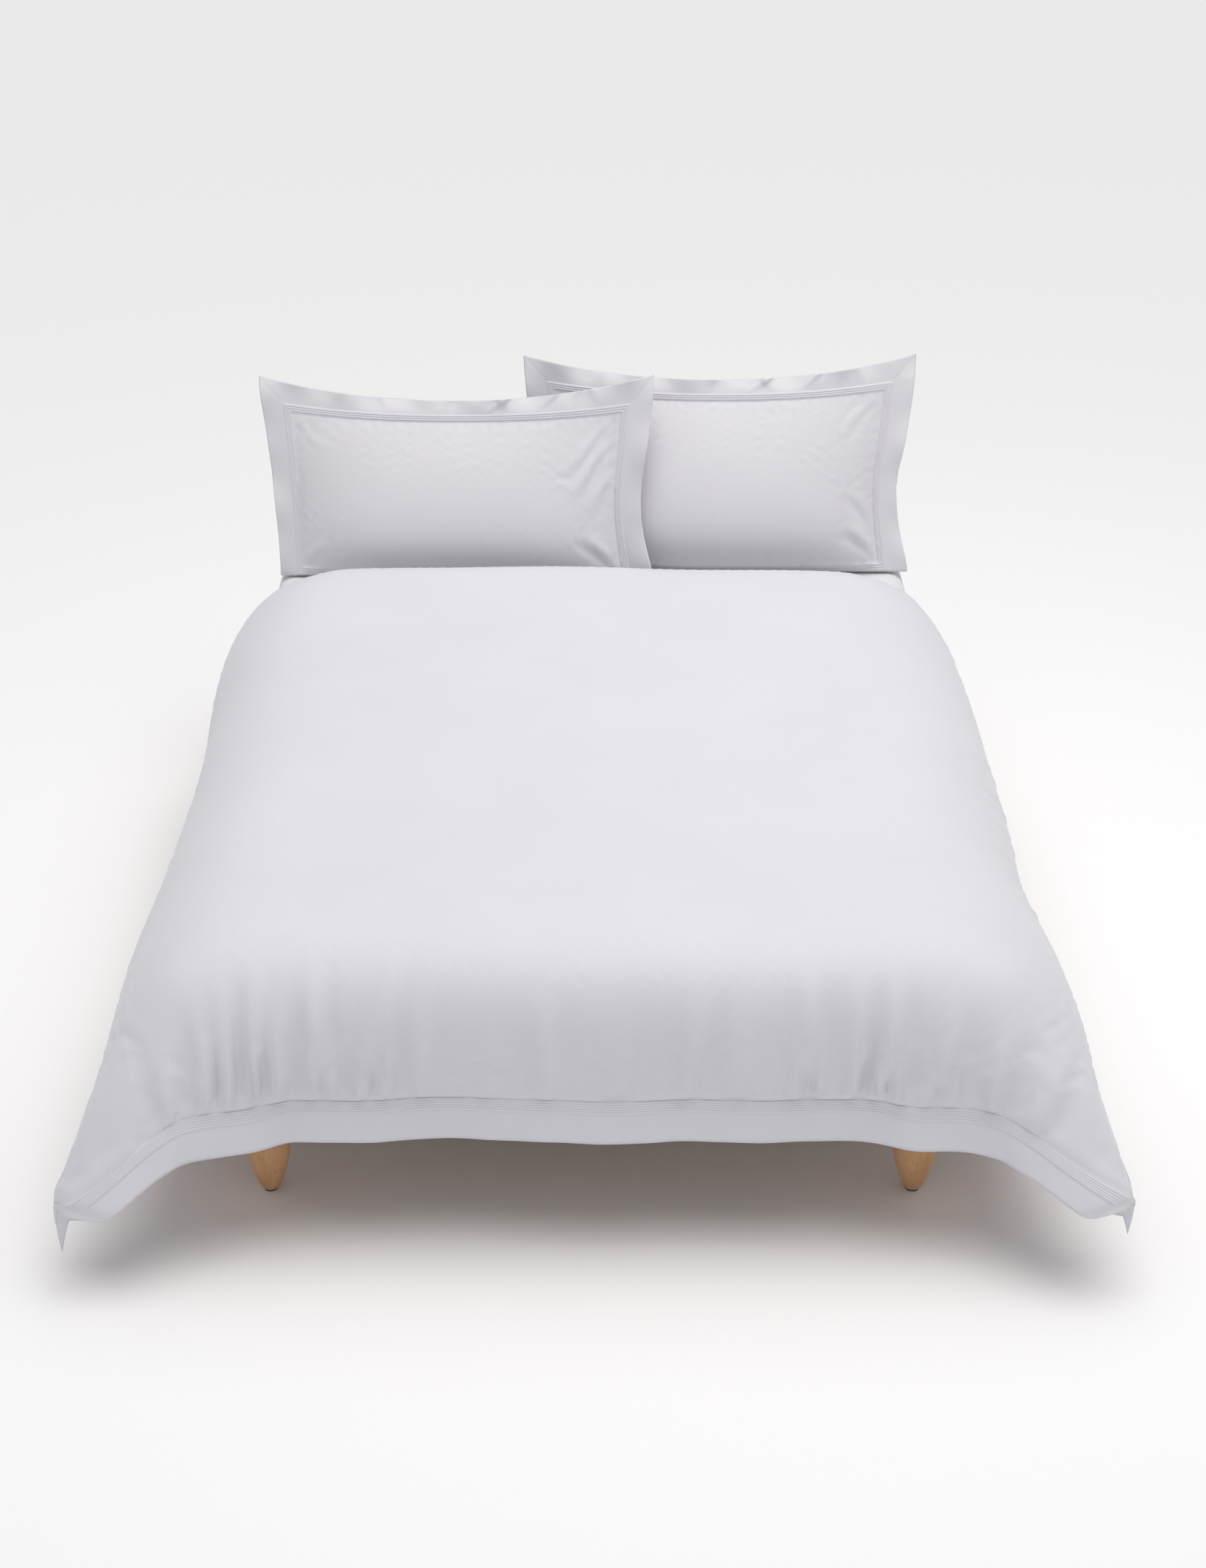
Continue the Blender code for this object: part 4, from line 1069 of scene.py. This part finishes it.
case_across = with_sides(case_x, 100, CASE_SIDE, 15)
case_along = with_sides(case_y, 140, CASE_SIDE, 15)
U, V = np.meshgrid(case_across, case_along)
points, way, length = boxed(U, V, case_x, case_y, CASE_RADIUS)
points[..., 2] += case_high.z
tape = 0.0016 * sum(bell(length, place, 0.004) for place in TAPE_PLACES)
points += way * (quilted(U, V) * (length < CASE_SIDE - 0.02) + tape - 0.0024)[..., None]
case = cloth_panel("mattress_case_cloth", points, case_across, case_along, ticking)
thicken(case, 0.0012, -1)
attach(case, "mattress")
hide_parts("mattress_top_panel", "mattress_border")

BASE_RIM = 0.03  # the base panel reaches this far over the rounded edge
base_across = np.linspace(-case_x - BASE_RIM, case_x + BASE_RIM, 90)
base_along = np.linspace(-case_y - BASE_RIM, case_y + BASE_RIM, 120)
U, V = np.meshgrid(base_across, base_along)
sunk = 0.0016 * np.abs(np.sin(math.pi * U / 0.09)) ** 0.5
flat_points = np.stack([U, V, case_low.z + 0.0018 - sunk + 0.0 * V], axis=-1)
base = cloth_panel("mattress_base_cloth", flat_points[:, ::-1], base_across[::-1], base_along, ticking)
thicken(base, 0.0010, -1)
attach(base, "mattress")
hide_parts("mattress_base_panel")
print("mattress case", len(case.data.polygons), "faces")

# %% [markdown]
# ## Turned legs
# The four legs are oak, turned on a lathe: a bullet shape with a small flat foot. A profile of points
# spun round an upright axis makes one, which is what a lathe does. The solid legs have coarser sides,
# so these finer ones stand in for them, in the same places.

# %% Turned legs
LEG_PROFILE = (  # radius at each share of the height
    (0.0, 0.0), (0.0115, 0.0), (0.0135, 0.012), (0.0168, 0.04),
    (0.0202, 0.08), (0.0238, 0.135), (0.0272, 0.20), (0.0310, 0.28),
    (0.0342, 0.36), (0.0372, 0.46), (0.0400, 0.58), (0.0420, 0.70),
    (0.0434, 0.82), (0.0446, 0.94), (0.0450, 0.99), (0.0440, 1.0),
    (0.0, 1.0),
)


def make_leg(name):
    low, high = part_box(name)
    middle = (low + high) / 2
    leg = bmesh.new()
    tall = high.z - low.z
    places = [(middle.x + radius, middle.y, low.z + share * tall) for radius, share in LEG_PROFILE]
    points = [leg.verts.new(place) for place in places]
    edges = [leg.edges.new(pair) for pair in zip(points, points[1:])]
    turn = {"cent": (middle.x, middle.y, 0), "axis": (0, 0, 1), "angle": 2 * math.pi, "steps": 72}
    bmesh.ops.spin(leg, geom=points + edges, use_merge=True, **turn)
    bmesh.ops.remove_doubles(leg, verts=leg.verts, dist=1e-5)
    bmesh.ops.recalc_face_normals(leg, faces=leg.faces)
    for face in leg.faces:
        face.smooth = abs(face.normal.z) < 0.98
    turned = finished("turned_" + name, leg, oak)
    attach(turned, "bed_frame")
    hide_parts(name)


for end in ("foot", "head"):
    for hand in ("left", "right"):
        make_leg(f"{end}_{hand}_leg")
print("4 legs turned")

# %% [markdown]
# ## Finishes of the base
# The rails, slats, blocks, bolts and glides keep their solid shapes. Each only gets its finish.

# %% Finish the base
BASE_FINISHES = {"zinc_steel": zinc, "felt": felt, "foam": foam, "spring_unit": spring_cover}
RAIL_FINISHES = {
    "foot_rail": oak_across,
    "head_rail": oak_across,
    "left_side_rail": oak_along,
    "right_side_rail": oak_along,
    "centre_rail": birch_along,
    "left_cleat": birch_along,
    "right_cleat": birch_along,
}
for part in frame["record"]["subparts"]:
    name, slot = part["node"], part["material_slot"]
    finish = RAIL_FINISHES.get(name) or (birch if slot == "birch" else BASE_FINISHES.get(slot))
    if finish:
        for held in frame["nodes"][name].material_slots:
            held.material = finish
print("base finished")
